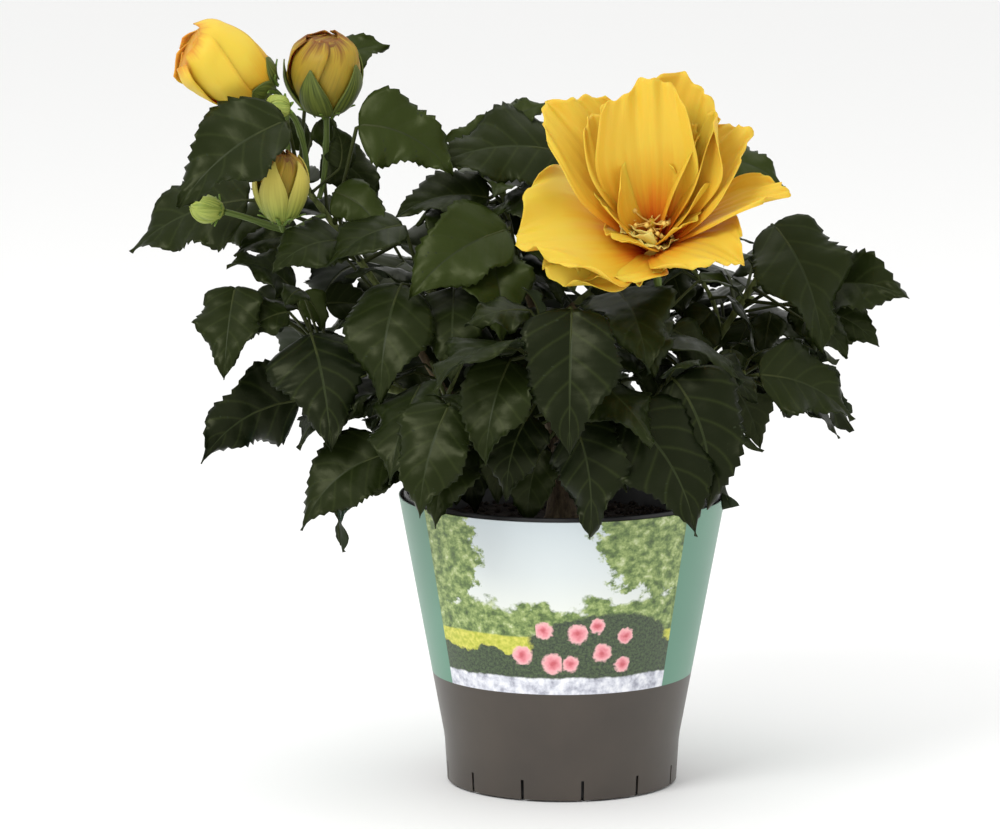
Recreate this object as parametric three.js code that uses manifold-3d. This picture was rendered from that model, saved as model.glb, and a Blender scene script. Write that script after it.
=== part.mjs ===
// A potted hibiscus: a short trunk, five boughs and fifteen leafy shoots over a sleeved pot, with one open
// double flower and five buds. Millimetres, +Z up, the origin in the middle of the pot's flat underside.
// The plant shows its flower towards -Y, and +X is to the right of someone who looks at it from there.
import * as THREE from "three";
import { mergeVertices } from "three/addons/utils/BufferGeometryUtils.js";
import Module from "manifold-3d";

const seatGap = 0.3; // neighbours that touch keep this gap

// Pot, sleeve and soil
const potHeight = 122;
const potFootRadius = 44.6;
const potTaper = 0.148; // how much the pot's radius grows with each millimetre of height
const potLipHeight = 7;
const potWall = 1.3;
const potFloor = 1.6;
const drainHoles = 8;
const drainRadius = 3.5;
const drainRing = 33;
const sleeveLift = 0.8; // the card's lower edge hangs this far above the floor
const sleeveTop = 120.5;
const sleeveFootRadius = 47.7;
const sleeveTopRadius = 67.8;
const sleeveBend = 19; // below this height the card stands upright, above it it flares
const sleeveWall = 0.8;
const sleeveSlits = 12;
const slitWidth = 1;
const slitHeight = 9;
const soilTop = 109;
const roundSides = 36;

// Wood
const trunkTop = [-3, 3, 133];
const trunkFlareRadius = 9.5;
const trunkFootRadius = 6.2;
const trunkNeckRadius = 4.6;
const trunkKnuckle = 5.6;
const boughFootRadius = 2.7;
const boughNeckRadius = 2.2;
const boughKnuckle = 3.2;
const stemFootRadius = 1.5;
const stemTipRadius = 1.1;
const stalkRadius = 1.3; // the stalk of a flower or bud

// Leaves
const leafAspect = 0.34; // half a blade's width to its length
const leafThickness = 0.024; // at the midrib, to the blade's length
const petioleRadius = 0.9;
const petioleShare = 0.36; // a petiole's length to its blade's
const goldenTurn = 2.39996; // radians from one leaf to the next round a stem
const leafRoom = 2.2; // what a blade keeps clear above and below itself
const petioleRoom = 2.2; // and a petiole round itself
const limbRoom = 1.8; // and a limb
const strayLimit = 28; // how far a blade may reach past the middle between two stems
const leafTries = 16;
const lastNode = 0.965; // the last leaf sits this far along its stem
const leafFacing = [0, -0.75, 0.66]; // where the upper side of a posed leaf looks

const colours = {
  pot: [0x1a1a1b, 0.5],
  sleeve: [0x6f9c88, 0.55],
  soil: [0x2b2019, 0.95],
  bark: [0x5a4a35, 0.85],
  leaf: [0x2c3a1e, 0.35],
  petal: [0xf2be2c, 0.6],
  bud: [0xc9ab3a, 0.6],
};

// Each bough leaves the trunk's knuckle along "out" and ends in a knuckle of its own at "tip".
const boughs = {
  left: { out: [-0.8, -0.12, 0.6], tip: [-48, -6, 163] },
  right: { out: [0.8, 0.08, 0.6], tip: [45, 4, 158] },
  front: { out: [0.1, -0.8, 0.6], tip: [6, -36, 150] },
  middle: { out: [-0.05, 0.05, 1], tip: [-8, 8, 188] },
  back: { out: [-0.08, 0.8, 0.6], tip: [-4, 44, 160] },
};

// Each shoot is one mass: its stem leaves a bough's knuckle along "out" and ends at "tip". "leaves" counts
// the ones that the rule places, "sides" the side twigs, "size" is the length of its largest blade and "low"
// the height that no blade of the rule hangs below. "posed" are the leaves that show their place: where along
// the stem they sit, the blade's foot and tip, and a turn of its face.
const shoots = {
  left_top: {
    bough: "left", out: [-0.5, 0.15, 0.85], tip: [-111, -4, 256],
    leaves: 7, sides: 0, size: 60, turn: 0.6, low: 190,
    posed: [
      [0.96, [-112, -43, 282], [-156, -55, 247], 0.1],
      [0.72, [-122, -24, 245], [-190, -34, 213], 0.1],
      [0.76, [-84, -27, 278], [-45, -31, 257], 0.3],
      [1, [-106, 14, 286], [-71, 22, 305], 0],
      [0.8, [-98, 8, 262], [-75, 0, 240], 0],
      [0.9, [-98, 12, 262], [-110, 14, 286], 0],
      [0.7, [-94, -24, 250], [-74, -34, 232], 0],
      [0.6, [-98, -30, 231], [-139, -42, 219], 0.1],
    ],
  },
  left_mid: {
    bough: "left", out: [-0.93, -0.35, 0], tip: [-104, -20, 190],
    leaves: 5, sides: 0, size: 62, turn: 2.1, low: 146,
    posed: [
      [0.97, [-134, -30, 212], [-138, -50, 176], 0.2],
      [1, [-112, -34, 202], [-132, -42, 190], 0],
      [0.93, [-103, -40, 194], [-94, -72, 150], 0],
      [0.8, [-108, -14, 162], [-149, -24, 137], -1],
      [0.9, [-98, 2, 200], [-72, 8, 194], 0],
    ],
  },
  left_low: {
    bough: "left", out: [0.1, -0.95, 0.1], tip: [-58, -58, 160],
    leaves: 6, sides: 0, size: 64, turn: 0.9, low: 112,
    posed: [
      [1, [-70, -60, 148], [-106, -68, 117], 0.1],
      [0.75, [-82, -38, 150], [-90, -46, 104], -1.4],
      [0.9, [-46, -84, 172], [-58, -100, 128], 0.1],
      [0.5, [-42, -58, 152], [-52, -80, 120], 0],
    ],
  },
  front_low: {
    bough: "front", out: [-0.45, -0.6, 0.66], tip: [-8, -66, 202],
    leaves: 8, sides: 1, size: 66, turn: 1.7, low: 114,
    posed: [
      [1, [3, -88, 212], [2, -104, 154], 0],
      [0.45, [4, -78, 164], [10, -90, 118], 0.6],
      [0.8, [-24, -82, 190], [-36, -98, 148], 0.1],
      [0.6, [-9, -72, 166], [-16, -86, 124], 0],
      [0.3, [-26, -62, 154], [-35, -84, 122], 0],
    ],
  },
  front_right: {
    bough: "front", out: [0.75, -0.66, 0.05], tip: [40, -62, 172],
    leaves: 7, sides: 1, size: 66, turn: 4.4, low: 114,
    posed: [
      [0.7, [24, -80, 168], [53, -92, 119], 0],
      [1, [43, -72, 181], [56, -82, 126], 0.2],
      [0.95, [58, -48, 182], [79, -58, 168], 0],
    ],
  },
  flower: {
    bough: "front", out: [0.2, 0.3, 0.93], tip: [36, -36, 196],
    leaves: 6, sides: 0, size: 62, turn: 3.3, low: 150,
    posed: [
      [0.8, [22, -44, 212], [34, -80, 183], 0],
      [0.9, [56, -44, 214], [82, -60, 200], -0.6],
    ],
  },
  right_top: {
    bough: "right", out: [0.6, 0.1, 0.78], tip: [82, 6, 212],
    leaves: 7, sides: 1, size: 64, turn: 5.2, low: 170,
    posed: [
      [0.97, [86, -16, 236], [106, -38, 185], 0],
      [0.95, [98, -6, 204], [142, -26, 206], 0.1],
      [0.8, [98, -20, 200], [124, -36, 182], 0],
    ],
  },
  right_low: {
    bough: "right", out: [0.75, -0.6, 0.2], tip: [74, -28, 176],
    leaves: 7, sides: 0, size: 64, turn: 0.2, low: 146,
    posed: [
      [0.85, [66, -48, 178], [122, -60, 149], 0.1],
    ],
  },
  right_back: {
    bough: "right", out: [0.35, 0.9, 0.2], tip: [72, 56, 186],
    leaves: 10, sides: 1, size: 68, turn: 3.6, low: 142,
    posed: [],
  },
  middle_top: {
    bough: "middle", out: [-0.4, -0.1, 0.9], tip: [-26, 6, 254],
    leaves: 8, sides: 1, size: 64, turn: 2.9, low: 180,
    posed: [
      [0.98, [0, -6, 264], [-54, -22, 260], -0.1],
      [0.9, [-30, -14, 246], [-70, -22, 238], 0.1],
      [0.7, [-22, -34, 236], [-63, -52, 209], 0],
    ],
  },
  middle_right: {
    bough: "middle", out: [0.75, 0.3, 0.5], tip: [40, 34, 230],
    leaves: 8, sides: 1, size: 64, turn: 4.9, low: 180,
    posed: [
      [0.97, [52, 16, 257], [92, 10, 247], 0],
    ],
  },
  middle_left: {
    bough: "middle", out: [-0.9, -0.35, 0.1], tip: [-60, -26, 214],
    leaves: 8, sides: 1, size: 66, turn: 1.1, low: 150,
    posed: [
      [0.95, [-68, -32, 238], [-110, -42, 220], 0.2],
      [0.9, [-66, -38, 214], [-74, -62, 168], 0],
      [0.75, [-42, -42, 226], [-48, -66, 178], 0],
      [0.85, [-46, -22, 240], [-76, -30, 224], 0],
    ],
  },
  back_left: {
    bough: "back", out: [-0.8, 0.35, 0.45], tip: [-66, 74, 204],
    leaves: 10, sides: 1, size: 68, turn: 1.2, low: 130,
    posed: [],
  },
  back_right: {
    bough: "back", out: [0.5, 0.2, 0.84], tip: [26, 88, 220],
    leaves: 10, sides: 1, size: 66, turn: 5.8, low: 142,
    posed: [],
  },
  back_low: {
    bough: "back", out: [0.15, 0.98, -0.05], tip: [-14, 104, 152],
    leaves: 9, sides: 1, size: 68, turn: 2.5, low: 118,
    posed: [],
  },
};

// The open flower sits on a stalk from the tip of the flower shoot. Each petal: turn round the axis in
// degrees, length, half-width, its angle from the axis at the foot and at the edge, roll and cup.
const flower = {
  shoot: "flower", foot: [37, -50, 228], axis: [-0.08, -0.64, 0.76], thickness: 1.3,
  petals: [
    [93, 84, 22, 2, 37, 0, 0.6],
    [64, 80, 27, 14, 50, 0, 0.3],
    [142, 79, 24, 26, 60, 0.15, 0.45],
    [37, 68, 22, 26, 66, -0.1, 0.35],
    [7, 67, 15, 38, 80, -0.3, 0.2],
    [199, 68, 39, 34, 88, 0.1, 0.1],
    [233, 50, 25, 36, 86, 0, 0.15],
    [321, 58, 22, 34, 83, -0.1, 0.2],
    [112, 50, 15, 2, 34, 0.1, 0.7],
    [42, 64, 10, 8, 46, -0.4, 0.6],
    [212, 27, 10, 6, 56, 0, 0.5],
  ],
};

// The buds on stalks from the left shoot: where along its stem, foot, axis, length, radius and whether petals
// show
const buds = {
  bud_opening: [1, [-119, -12, 291], [-0.86, -0.2, 0.44], 41, 16.5, 1],
  bud_upright: [0.86, [-97, -8, 280], [-0.03, -0.2, 0.98], 34.5, 17, 1],
  bud_striped: [0.8, [-115, -34, 239], [0.02, -0.12, 1], 30, 11.6, 1],
  bud_green_low: [0.66, [-139, -24, 242], [-0.93, -0.3, 0.2], 14, 5.8, 0],
  bud_green_high: [0.93, [-113, -26, 284], [-0.6, -0.75, 0.3], 11, 5.2, 0],
};

const wasm = await Module();
wasm.setup();

const up = new THREE.Vector3(0, 0, 1);
const vec = (p) => new THREE.Vector3(...p);
const mix = (a, b, t) => a + (b - a) * t;
const sideways = (way) => (Math.abs(way.z) > 0.95 ? new THREE.Vector3(1, 0, 0) : up);
const wayOf = (heading, pitch) => new THREE.Vector3(
  Math.cos(heading) * Math.cos(pitch), Math.sin(heading) * Math.cos(pitch), Math.sin(pitch));

// Steady numbers from 0 to 1, one for each three whole numbers
function chance(a, b, c) {
  let h = Math.imul(a + 1, 374761393) + Math.imul(b + 1, 668265263) + Math.imul(c + 1, 1274126177);
  h = Math.imul(h ^ (h >>> 13), 1103515245);
  h = Math.imul(h ^ (h >>> 16), 2246822519);
  return ((h ^ (h >>> 15)) >>> 0) / 4294967296;
}

// A closed solid from points and triangles, its faces turned outwards
function solidFrom(points, triangles) {
  const volume = triangles.reduce((sum, [a, b, c]) => {
    const cross = new THREE.Vector3().crossVectors(points[b], points[c]);
    return sum + points[a].dot(cross);
  }, 0);
  const order = volume < 0 ? ([a, b, c]) => [a, c, b] : (t) => t;
  const mesh = new wasm.Mesh({
    numProp: 3,
    vertProperties: new Float32Array(points.flatMap((p) => [p.x, p.y, p.z])),
    triVerts: new Uint32Array(triangles.flatMap(order)),
  });
  return new wasm.Manifold(mesh);
}

// A three.js geometry as a solid
function solidOf(geometry) {
  const bare = geometry.clone();
  bare.deleteAttribute("normal");
  bare.deleteAttribute("uv");
  const merged = mergeVertices(bare, 1e-4);
  const mesh = new wasm.Mesh({
    numProp: 3,
    vertProperties: merged.attributes.position.array,
    triVerts: new Uint32Array(merged.index.array),
  });
  return new wasm.Manifold(mesh);
}

// All the solids fused into one body: a loose scrap is dropped, and a hollow that the fusing sealed is filled
function fuse(solids) {
  let rows = solids;
  while (rows.length > 1) {
    const next = [];
    for (let i = 0; i < rows.length; i += 2) {
      next.push(i + 1 < rows.length ? rows[i].add(rows[i + 1]) : rows[i]);
    }
    rows = next;
  }
  return rows[0].decompose().sort((a, b) => b.volume() - a.volume())[0];
}

// Rings of equally many points joined into a closed skin. A ring of one point is a pointed end.
function loft(rings) {
  const points = rings.flat();
  const triangles = [];
  let start = 0;
  for (let i = 0; i + 1 < rings.length; i++) {
    const here = rings[i].length;
    const next = rings[i + 1].length;
    const count = Math.max(here, next);
    const after = start + here;
    for (let k = 0; k < count; k++) {
      const j = (k + 1) % count;
      if (here === 1) triangles.push([start, after + k, after + j]);
      else if (next === 1) triangles.push([start + k, after, start + j]);
      else triangles.push([start + k, after + k, after + j], [start + k, after + j, start + j]);
    }
    start = after;
  }
  for (let k = 1; k + 1 < rings[0].length; k++) triangles.push([0, k, k + 1]);
  const last = points.length - rings.at(-1).length;
  for (let k = 1; k + 1 < rings.at(-1).length; k++) triangles.push([last, last + k + 1, last + k]);
  return solidFrom(points, triangles);
}

// Rings round a path, turned as little as possible from one to the next
function ringsAlong(path, radii, sides) {
  const tangents = path.map((p, i) => {
    const before = path[Math.max(i - 1, 0)];
    const after = path[Math.min(i + 1, path.length - 1)];
    return after.clone().sub(before).normalize();
  });
  let side = Math.abs(tangents[0].z) > 0.9 ? new THREE.Vector3(1, 0, 0) : up.clone();
  return path.map((p, i) => {
    side = side.clone().addScaledVector(tangents[i], -side.dot(tangents[i])).normalize();
    const over = new THREE.Vector3().crossVectors(tangents[i], side);
    return Array.from({ length: sides }, (_, k) => {
      const a = (2 * Math.PI * k) / sides;
      const across = p.clone().addScaledVector(side, radii[i] * Math.cos(a));
      return across.addScaledVector(over, radii[i] * Math.sin(a));
    });
  });
}

function tube(path, radii, sides) {
  return loft(ringsAlong(path, radii, sides));
}

// A path of a few steps from one point to another that sets off along "out"
function bentPath(from, out, to, steps) {
  const bend = from.clone().addScaledVector(out, from.distanceTo(to) * 0.45);
  const curve = new THREE.QuadraticBezierCurve3(from, bend, to);
  return Array.from({ length: steps + 1 }, (_, i) => curve.getPoint(i / steps));
}

function knuckle(place, radius) {
  return solidOf(new THREE.SphereGeometry(radius, 8, 6)).translate([place.x, place.y, place.z]);
}

// The sleeve's outer radius at a height
function sleeveRadius(z) {
  const bendRadius = sleeveFootRadius + 1.2;
  if (z < sleeveBend) return mix(sleeveFootRadius, bendRadius, z / sleeveBend);
  return mix(bendRadius, sleeveTopRadius, (z - sleeveBend) / (sleeveTop - sleeveBend));
}

// The lip's outside sits just inside the card
const potLipRadius = sleeveRadius(potHeight - potLipHeight + 0.8) - sleeveWall - seatGap - 0.15;

// The pot's outer radius at a height below its lip
function potRadius(z) {
  return potFootRadius + potTaper * z;
}

function turned(profile) {
  const outline = profile.map(([r, z]) => new THREE.Vector2(r, z));
  return new THREE.LatheGeometry(outline, roundSides).rotateX(Math.PI / 2);
}

function makePot() {
  const lipFoot = potHeight - potLipHeight;
  const shoulder = lipFoot + 1.4;
  const floorTop = potFloor + 1;
  let pot = solidOf(turned([
    [0, 0],
    [potRadius(0) - 1.4, 0],
    [potRadius(1.4), 1.4],
    [potRadius(lipFoot), lipFoot],
    [potLipRadius, lipFoot + 0.8],
    [potLipRadius, potHeight],
    [potLipRadius - potWall, potHeight],
    [potLipRadius - potWall, shoulder + 0.8],
    [potRadius(shoulder) - potWall, shoulder],
    [potRadius(floorTop) - potWall, floorTop],
    [potRadius(floorTop) - potWall - 1, potFloor],
    [0, potFloor],
  ]));
  for (let k = 0; k < drainHoles; k++) {
    const a = (2 * Math.PI * k) / drainHoles;
    const drill = new THREE.CylinderGeometry(drainRadius, drainRadius, 6, 6).rotateX(Math.PI / 2);
    drill.translate(drainRing * Math.cos(a), drainRing * Math.sin(a), potFloor / 2);
    pot = pot.subtract(solidOf(drill));
  }
  return pot;
}

function makeSleeve() {
  const heights = [sleeveLift, sleeveBend, sleeveTop];
  const outside = heights.map((z) => [sleeveRadius(z), z]);
  const inside = heights.map((z) => [sleeveRadius(z) - sleeveWall, z]).reverse();
  const profile = [...outside, ...inside, outside[0]];
  let sleeve = solidOf(turned(profile));
  for (let k = 0; k < sleeveSlits; k++) {
    const slit = new THREE.BoxGeometry(8, slitWidth, slitHeight * 2);
    slit.translate(sleeveFootRadius, 0, 0).rotateZ((2 * Math.PI * (k + 0.3)) / sleeveSlits);
    sleeve = sleeve.subtract(solidOf(slit));
  }
  return sleeve;
}

function makeSoil() {
  const floor = potFloor + seatGap;
  const wall = (z) => potRadius(z) - potWall - seatGap;
  return solidOf(turned([
    [0, floor],
    [wall(floor) - 1.6, floor],
    [wall(floor + 2.5), floor + 2.5],
    [wall(soilTop - 3), soilTop - 3],
    [wall(soilTop) * 0.88, soilTop - 0.4],
    [wall(soilTop) * 0.6, soilTop - 1.6],
    [wall(soilTop) * 0.3, soilTop],
    [0, soilTop],
  ]));
}

function makeTrunk() {
  const ground = soilTop + seatGap;
  const top = vec(trunkTop);
  const levels = [0, 0.12, 0.3, 0.65, 1];
  const waist = mix(trunkFootRadius, trunkNeckRadius, 0.6);
  const radii = [trunkFlareRadius, trunkFootRadius + 1.2, trunkFootRadius, waist, trunkNeckRadius];
  const path = levels.map((t) => new THREE.Vector3(top.x * t * t, top.y * t * t, mix(ground, top.z, t)));
  const rings = path.map((p, i) => Array.from({ length: 14 }, (_, k) => {
    const a = (2 * Math.PI * k) / 14;
    const root = 1 + (i === 0 ? 0.16 : i === 1 ? 0.07 : 0) * Math.cos(a * 5 + 0.4); // five low root ridges
    return new THREE.Vector3(p.x + radii[i] * root * Math.cos(a), p.y + radii[i] * root * Math.sin(a), p.z);
  }));
  return fuse([loft(rings), knuckle(top, trunkKnuckle)]);
}

// The bough's path, which starts clear of the trunk's knuckle
function boughPath({ out, tip }) {
  const way = vec(out).normalize();
  const from = vec(trunkTop).addScaledVector(way, trunkKnuckle + seatGap);
  return bentPath(from, way, vec(tip), 5);
}

function taper(from, to, count) {
  return Array.from({ length: count }, (_, i) => mix(from, to, i / (count - 1)));
}

function makeBough(bough) {
  const path = boughPath(bough);
  const limb = tube(path, taper(boughFootRadius, boughNeckRadius, path.length), 6);
  return fuse([limb, knuckle(vec(bough.tip), boughKnuckle)]);
}

// The stem of a shoot, which starts clear of its bough's knuckle
function stemPath({ bough, out, tip }) {
  const way = vec(out).normalize();
  const from = vec(boughs[bough].tip).addScaledVector(way, boughKnuckle + seatGap);
  return bentPath(from, way, vec(tip), 7);
}

function pointOn(path, t) {
  const place = t * (path.length - 1);
  const i = Math.min(Math.floor(place), path.length - 2);
  return path[i].clone().lerp(path[i + 1], place - i);
}

function headingOn(path, t) {
  const i = Math.min(Math.floor(t * (path.length - 1)), path.length - 2);
  return path[i + 1].clone().sub(path[i]).normalize();
}

// A leaf is told by its axil, the blade's foot, the chord's compass heading and pitch, and its curl, length,
// roll and fold. Its frame at t, from the foot to the tip: a place, the side and the upper face's normal.
function bladeFrame(leaf, t) {
  const steps = 8;
  const place = leaf.foot.clone();
  for (let i = 0; i < steps; i++) {
    const mid = (t * (i + 0.5)) / steps;
    const way = wayOf(leaf.heading, leaf.pitch + leaf.curl * (0.5 - mid));
    place.addScaledVector(way, (leaf.length * t) / steps);
  }
  const along = wayOf(leaf.heading, leaf.pitch + leaf.curl * (0.5 - t));
  const level = new THREE.Vector3(-Math.sin(leaf.heading), Math.cos(leaf.heading), 0);
  const over = new THREE.Vector3().crossVectors(along, level);
  const side = level.clone().multiplyScalar(Math.cos(leaf.roll)).addScaledVector(over, Math.sin(leaf.roll));
  const normal = new THREE.Vector3().crossVectors(along, side);
  return { place, side, normal };
}

// Half the blade's width at t: a round foot and a long drawn-out tip
function bladeWidth(leaf, t) {
  return leaf.length * leafAspect * 3.083 * Math.pow(t, 0.55) * Math.pow(1 - t, 1.3);
}

function bladePoint(leaf, t, u) {
  const { place, side, normal } = bladeFrame(leaf, t);
  const reach = bladeWidth(leaf, t) * u;
  place.addScaledVector(side, reach * Math.cos(leaf.fold));
  return place.addScaledVector(normal, Math.abs(reach) * Math.sin(leaf.fold));
}

// One leaf as one skin: its petiole, then four points round each station of the blade, down to the tip
function leafSolid(leaf) {
  const stations = leaf.posed ? [0.02, 0.16, 0.4, 0.7] : [0.02, 0.2, 0.54];
  const along = leaf.foot.clone().sub(leaf.axil).normalize();
  const root = bladeFrame(leaf, 0).side;
  root.addScaledVector(along, -root.dot(along)).normalize().multiplyScalar(petioleRadius);
  const over = new THREE.Vector3().crossVectors(along, root);
  const corners = [root.clone().negate(), over, root, over.clone().negate()];
  const rings = [corners.map((p) => p.clone().add(leaf.axil))];
  for (const t of stations) {
    const half = leaf.length * leafThickness * 0.5 * (1 - 0.5 * t) + 0.1;
    const { place, normal } = bladeFrame(leaf, t);
    const rise = normal.multiplyScalar(half);
    const [top, bottom] = [place.clone().add(rise), place.clone().sub(rise)];
    rings.push([bladePoint(leaf, t, -1), top, bladePoint(leaf, t, 1), bottom]);
  }
  rings.push([bladePoint(leaf, 1, 0)]);
  return loft(rings);
}

// What stands in the way of a new leaf: each thing has triangles, and lines that mustn't cross another's
// triangles. "stalk" is the line of a leaf's petiole, which may lie against the limb that it grows from.
const things = [];

function makeThing(owner, triangles, lines, stalk = []) {
  const box = new THREE.Box3().setFromPoints([...triangles.flat(), ...lines.flat(), ...stalk]);
  return { owner, triangles, lines, stalk, box, limb: false };
}

function lineMeets([p, q], [a, b, c]) {
  const way = q.clone().sub(p);
  const ab = b.clone().sub(a);
  const ac = c.clone().sub(a);
  const h = new THREE.Vector3().crossVectors(way, ac);
  const det = ab.dot(h);
  if (Math.abs(det) < 1e-12) return false;
  const s = p.clone().sub(a);
  const u = s.dot(h) / det;
  if (u < 0 || u > 1) return false;
  const k = new THREE.Vector3().crossVectors(s, ab);
  const v = way.dot(k) / det;
  if (v < 0 || u + v > 1) return false;
  const t = ac.dot(k) / det;
  return t >= 0 && t <= 1;
}

function crosses(one, other) {
  const lines = other.limb && other.owner === one.owner ? one.lines : [...one.lines, one.stalk];
  return lines.some((line) => line.length && other.triangles.some((t) => lineMeets(line, t)));
}

function meets(one, other) {
  return one.box.intersectsBox(other.box) && (crosses(one, other) || crosses(other, one));
}

// A sheet of points: its triangles, their edges, and short probes through its points
function sheetThing(grid, room, owner) {
  const triangles = [];
  const lines = [];
  for (let i = 0; i + 1 < grid.length; i++) {
    for (let j = 0; j + 1 < grid[i].length; j++) {
      const [a, b] = [grid[i][j], grid[i][j + 1]];
      const [c, d] = [grid[i + 1][j + 1], grid[i + 1][j]];
      triangles.push([a, b, c], [a, c, d]);
      const normal = new THREE.Vector3().crossVectors(c.clone().sub(a), d.clone().sub(b)).normalize();
      for (const p of [a, c]) {
        lines.push([p.clone().addScaledVector(normal, room), p.clone().addScaledVector(normal, -room)]);
      }
      lines.push([a, b], [b, c], [c, d], [d, a]);
    }
  }
  return makeThing(owner, triangles, lines);
}

// A leaf's blade as a sheet, and its petiole as two crossed strips
function leafThing(leaf, owner) {
  const grid = [0.04, 0.25, 0.5, 0.75, 1].map((t) => [-1, 0, 1].map((u) => bladePoint(leaf, t, u)));
  const sheet = sheetThing(grid, leafRoom, owner);
  const along = leaf.foot.clone().sub(leaf.axil).normalize();
  const from = leaf.axil.clone().addScaledVector(along, stemFootRadius);
  const aside = new THREE.Vector3().crossVectors(along, sideways(along));
  aside.normalize().multiplyScalar(petioleRoom);
  const over = new THREE.Vector3().crossVectors(along, aside);
  const strips = [aside, over].flatMap((w) => {
    const [a, b] = [from.clone().sub(w), from.clone().add(w)];
    const [c, d] = [leaf.foot.clone().add(w), leaf.foot.clone().sub(w)];
    return [[a, b, c], [a, c, d]];
  });
  return makeThing(owner, [...sheet.triangles, ...strips], sheet.lines, [from, leaf.foot]);
}

// A limb as a four-sided tube somewhat wider than itself
function limbThing(path, radius, owner) {
  const rings = ringsAlong(path, path.map(() => radius + limbRoom), 4);
  const triangles = [];
  for (let i = 0; i + 1 < rings.length; i++) {
    for (let k = 0; k < 4; k++) {
      const j = (k + 1) % 4;
      const [a, b, c, d] = [rings[i][k], rings[i + 1][k], rings[i + 1][j], rings[i][j]];
      triangles.push([a, b, c], [a, c, d]);
    }
  }
  const lines = path.slice(1).map((p, i) => [path[i], p]);
  return { ...makeThing(owner, triangles, lines), limb: true };
}

function meetsPot(point) {
  const r = Math.hypot(point.x, point.y);
  const clear = 3;
  if (point.z > potHeight + clear) return false;
  if (r > sleeveRadius(Math.max(point.z, 0)) + clear) return false;
  return r > potLipRadius - potWall - clear - 2 || point.z < soilTop + clear;
}

// Near its own stem, or not far past the middle between its own stem and the next one
function keepsToItsSpace(point, owner) {
  const near = (name) => Math.min(...stems[name].map((p) => p.distanceTo(point)));
  const own = near(owner);
  return Object.keys(stems).every((name) => name === owner || near(name) > own - strayLimit);
}

function fits(leaf, thing, owner, posed) {
  const points = [0.25, 0.5, 0.75, 1].flatMap((t) => [-1, 0, 1].map((u) => bladePoint(leaf, t, u)));
  if (points.some(meetsPot)) return false;
  if (!posed && points.some((p) => p.z < shoots[owner].low)) return false;
  if (!posed && !keepsToItsSpace(bladePoint(leaf, 0.6, 0), owner)) return false;
  return !things.some((other) => meets(thing, other));
}

const stems = Object.fromEntries(Object.entries(shoots).map(([name, shoot]) => [name, stemPath(shoot)]));

// A leaf from a given foot to a given tip, its upper side turned as far as it goes to where such leaves look
function posedLeaf(axil, foot, tip, turn, seed) {
  const chord = tip.clone().sub(foot);
  const curl = mix(0.6, 1.2, seed(4));
  const heading = Math.atan2(chord.y, chord.x);
  const pitch = Math.asin(chord.z / chord.length());
  const level = new THREE.Vector3(-Math.sin(heading), Math.cos(heading), 0);
  const over = new THREE.Vector3().crossVectors(wayOf(heading, pitch), level);
  const looks = vec(leafFacing);
  return {
    axil, foot, heading, pitch, curl, posed: true,
    length: (chord.length() * curl) / (2 * Math.sin(curl / 2)),
    roll: Math.atan2(-level.dot(looks), over.dot(looks)) + turn,
    fold: mix(0.05, 0.3, seed(6)),
  };
}

// A leaf by the rule: its heading turns round the stem and leans away from the plant's middle, and it droops
// more the lower it sits.
function ruledLeaf(axil, along, angle, rise, length, seed, attempt = 0) {
  const across = new THREE.Vector3().crossVectors(along, sideways(along)).normalize();
  const over = new THREE.Vector3().crossVectors(across, along);
  const way = across.multiplyScalar(Math.cos(angle)).addScaledVector(over, Math.sin(angle));
  const outward = new THREE.Vector3(axil.x, axil.y, 0).multiplyScalar(1 / (25 + Math.hypot(axil.x, axil.y)));
  way.z = 0;
  way.addScaledVector(outward, 0.75);
  const heading = Math.atan2(way.y, way.x);
  const lift = mix(0.15, 0.95, rise) + 0.3 * (seed(1) - 0.5);
  const petiole = length * petioleShare * mix(0.85, 1.25, seed(2));
  const foot = axil.clone().addScaledVector(wayOf(heading, lift), petiole);
  return {
    axil, foot, length, heading,
    pitch: mix(-1.05, -0.25, rise) + 0.6 * (seed(3) - 0.5) + 0.2 * (attempt % 3),
    curl: mix(0.6, 1.3, seed(4)),
    roll: 0.9 * (seed(5) - 0.5),
    fold: mix(-0.12, 0.34, seed(6)),
  };
}

// Places one leaf, trying a few headings, rises and sizes before it is skipped
function placeLeaf(make, owner, posed, leaves) {
  for (let attempt = 0; attempt < leafTries; attempt++) {
    const swing = Math.ceil(attempt / 2) * (attempt % 2 ? 0.3 : -0.3);
    const leaf = make(swing, 1 - 0.03 * attempt, attempt);
    const thing = leafThing(leaf, owner);
    if (fits(leaf, thing, owner, posed)) {
      things.push(thing);
      leaves.push(leaf);
      return;
    }
  }
}

// The posed leaves of a shoot, each swung a little about its axil or shortened where it would meet another
function poseLeaves(name, number, leaves) {
  shoots[name].posed.forEach(([at, foot, tip, turn], row) => {
    const axil = pointOn(stems[name], Math.min(at, lastNode));
    const make = (swing, scale) => {
      const swung = [foot, tip].map((p) => vec(p).sub(axil).applyAxisAngle(up, swing * 0.35).add(axil));
      swung[1].lerp(swung[0], 1 - scale);
      return posedLeaf(axil, ...swung, turn, (k) => chance(number, 200 + row, k));
    };
    placeLeaf(make, name, true, leaves);
  });
}

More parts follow.
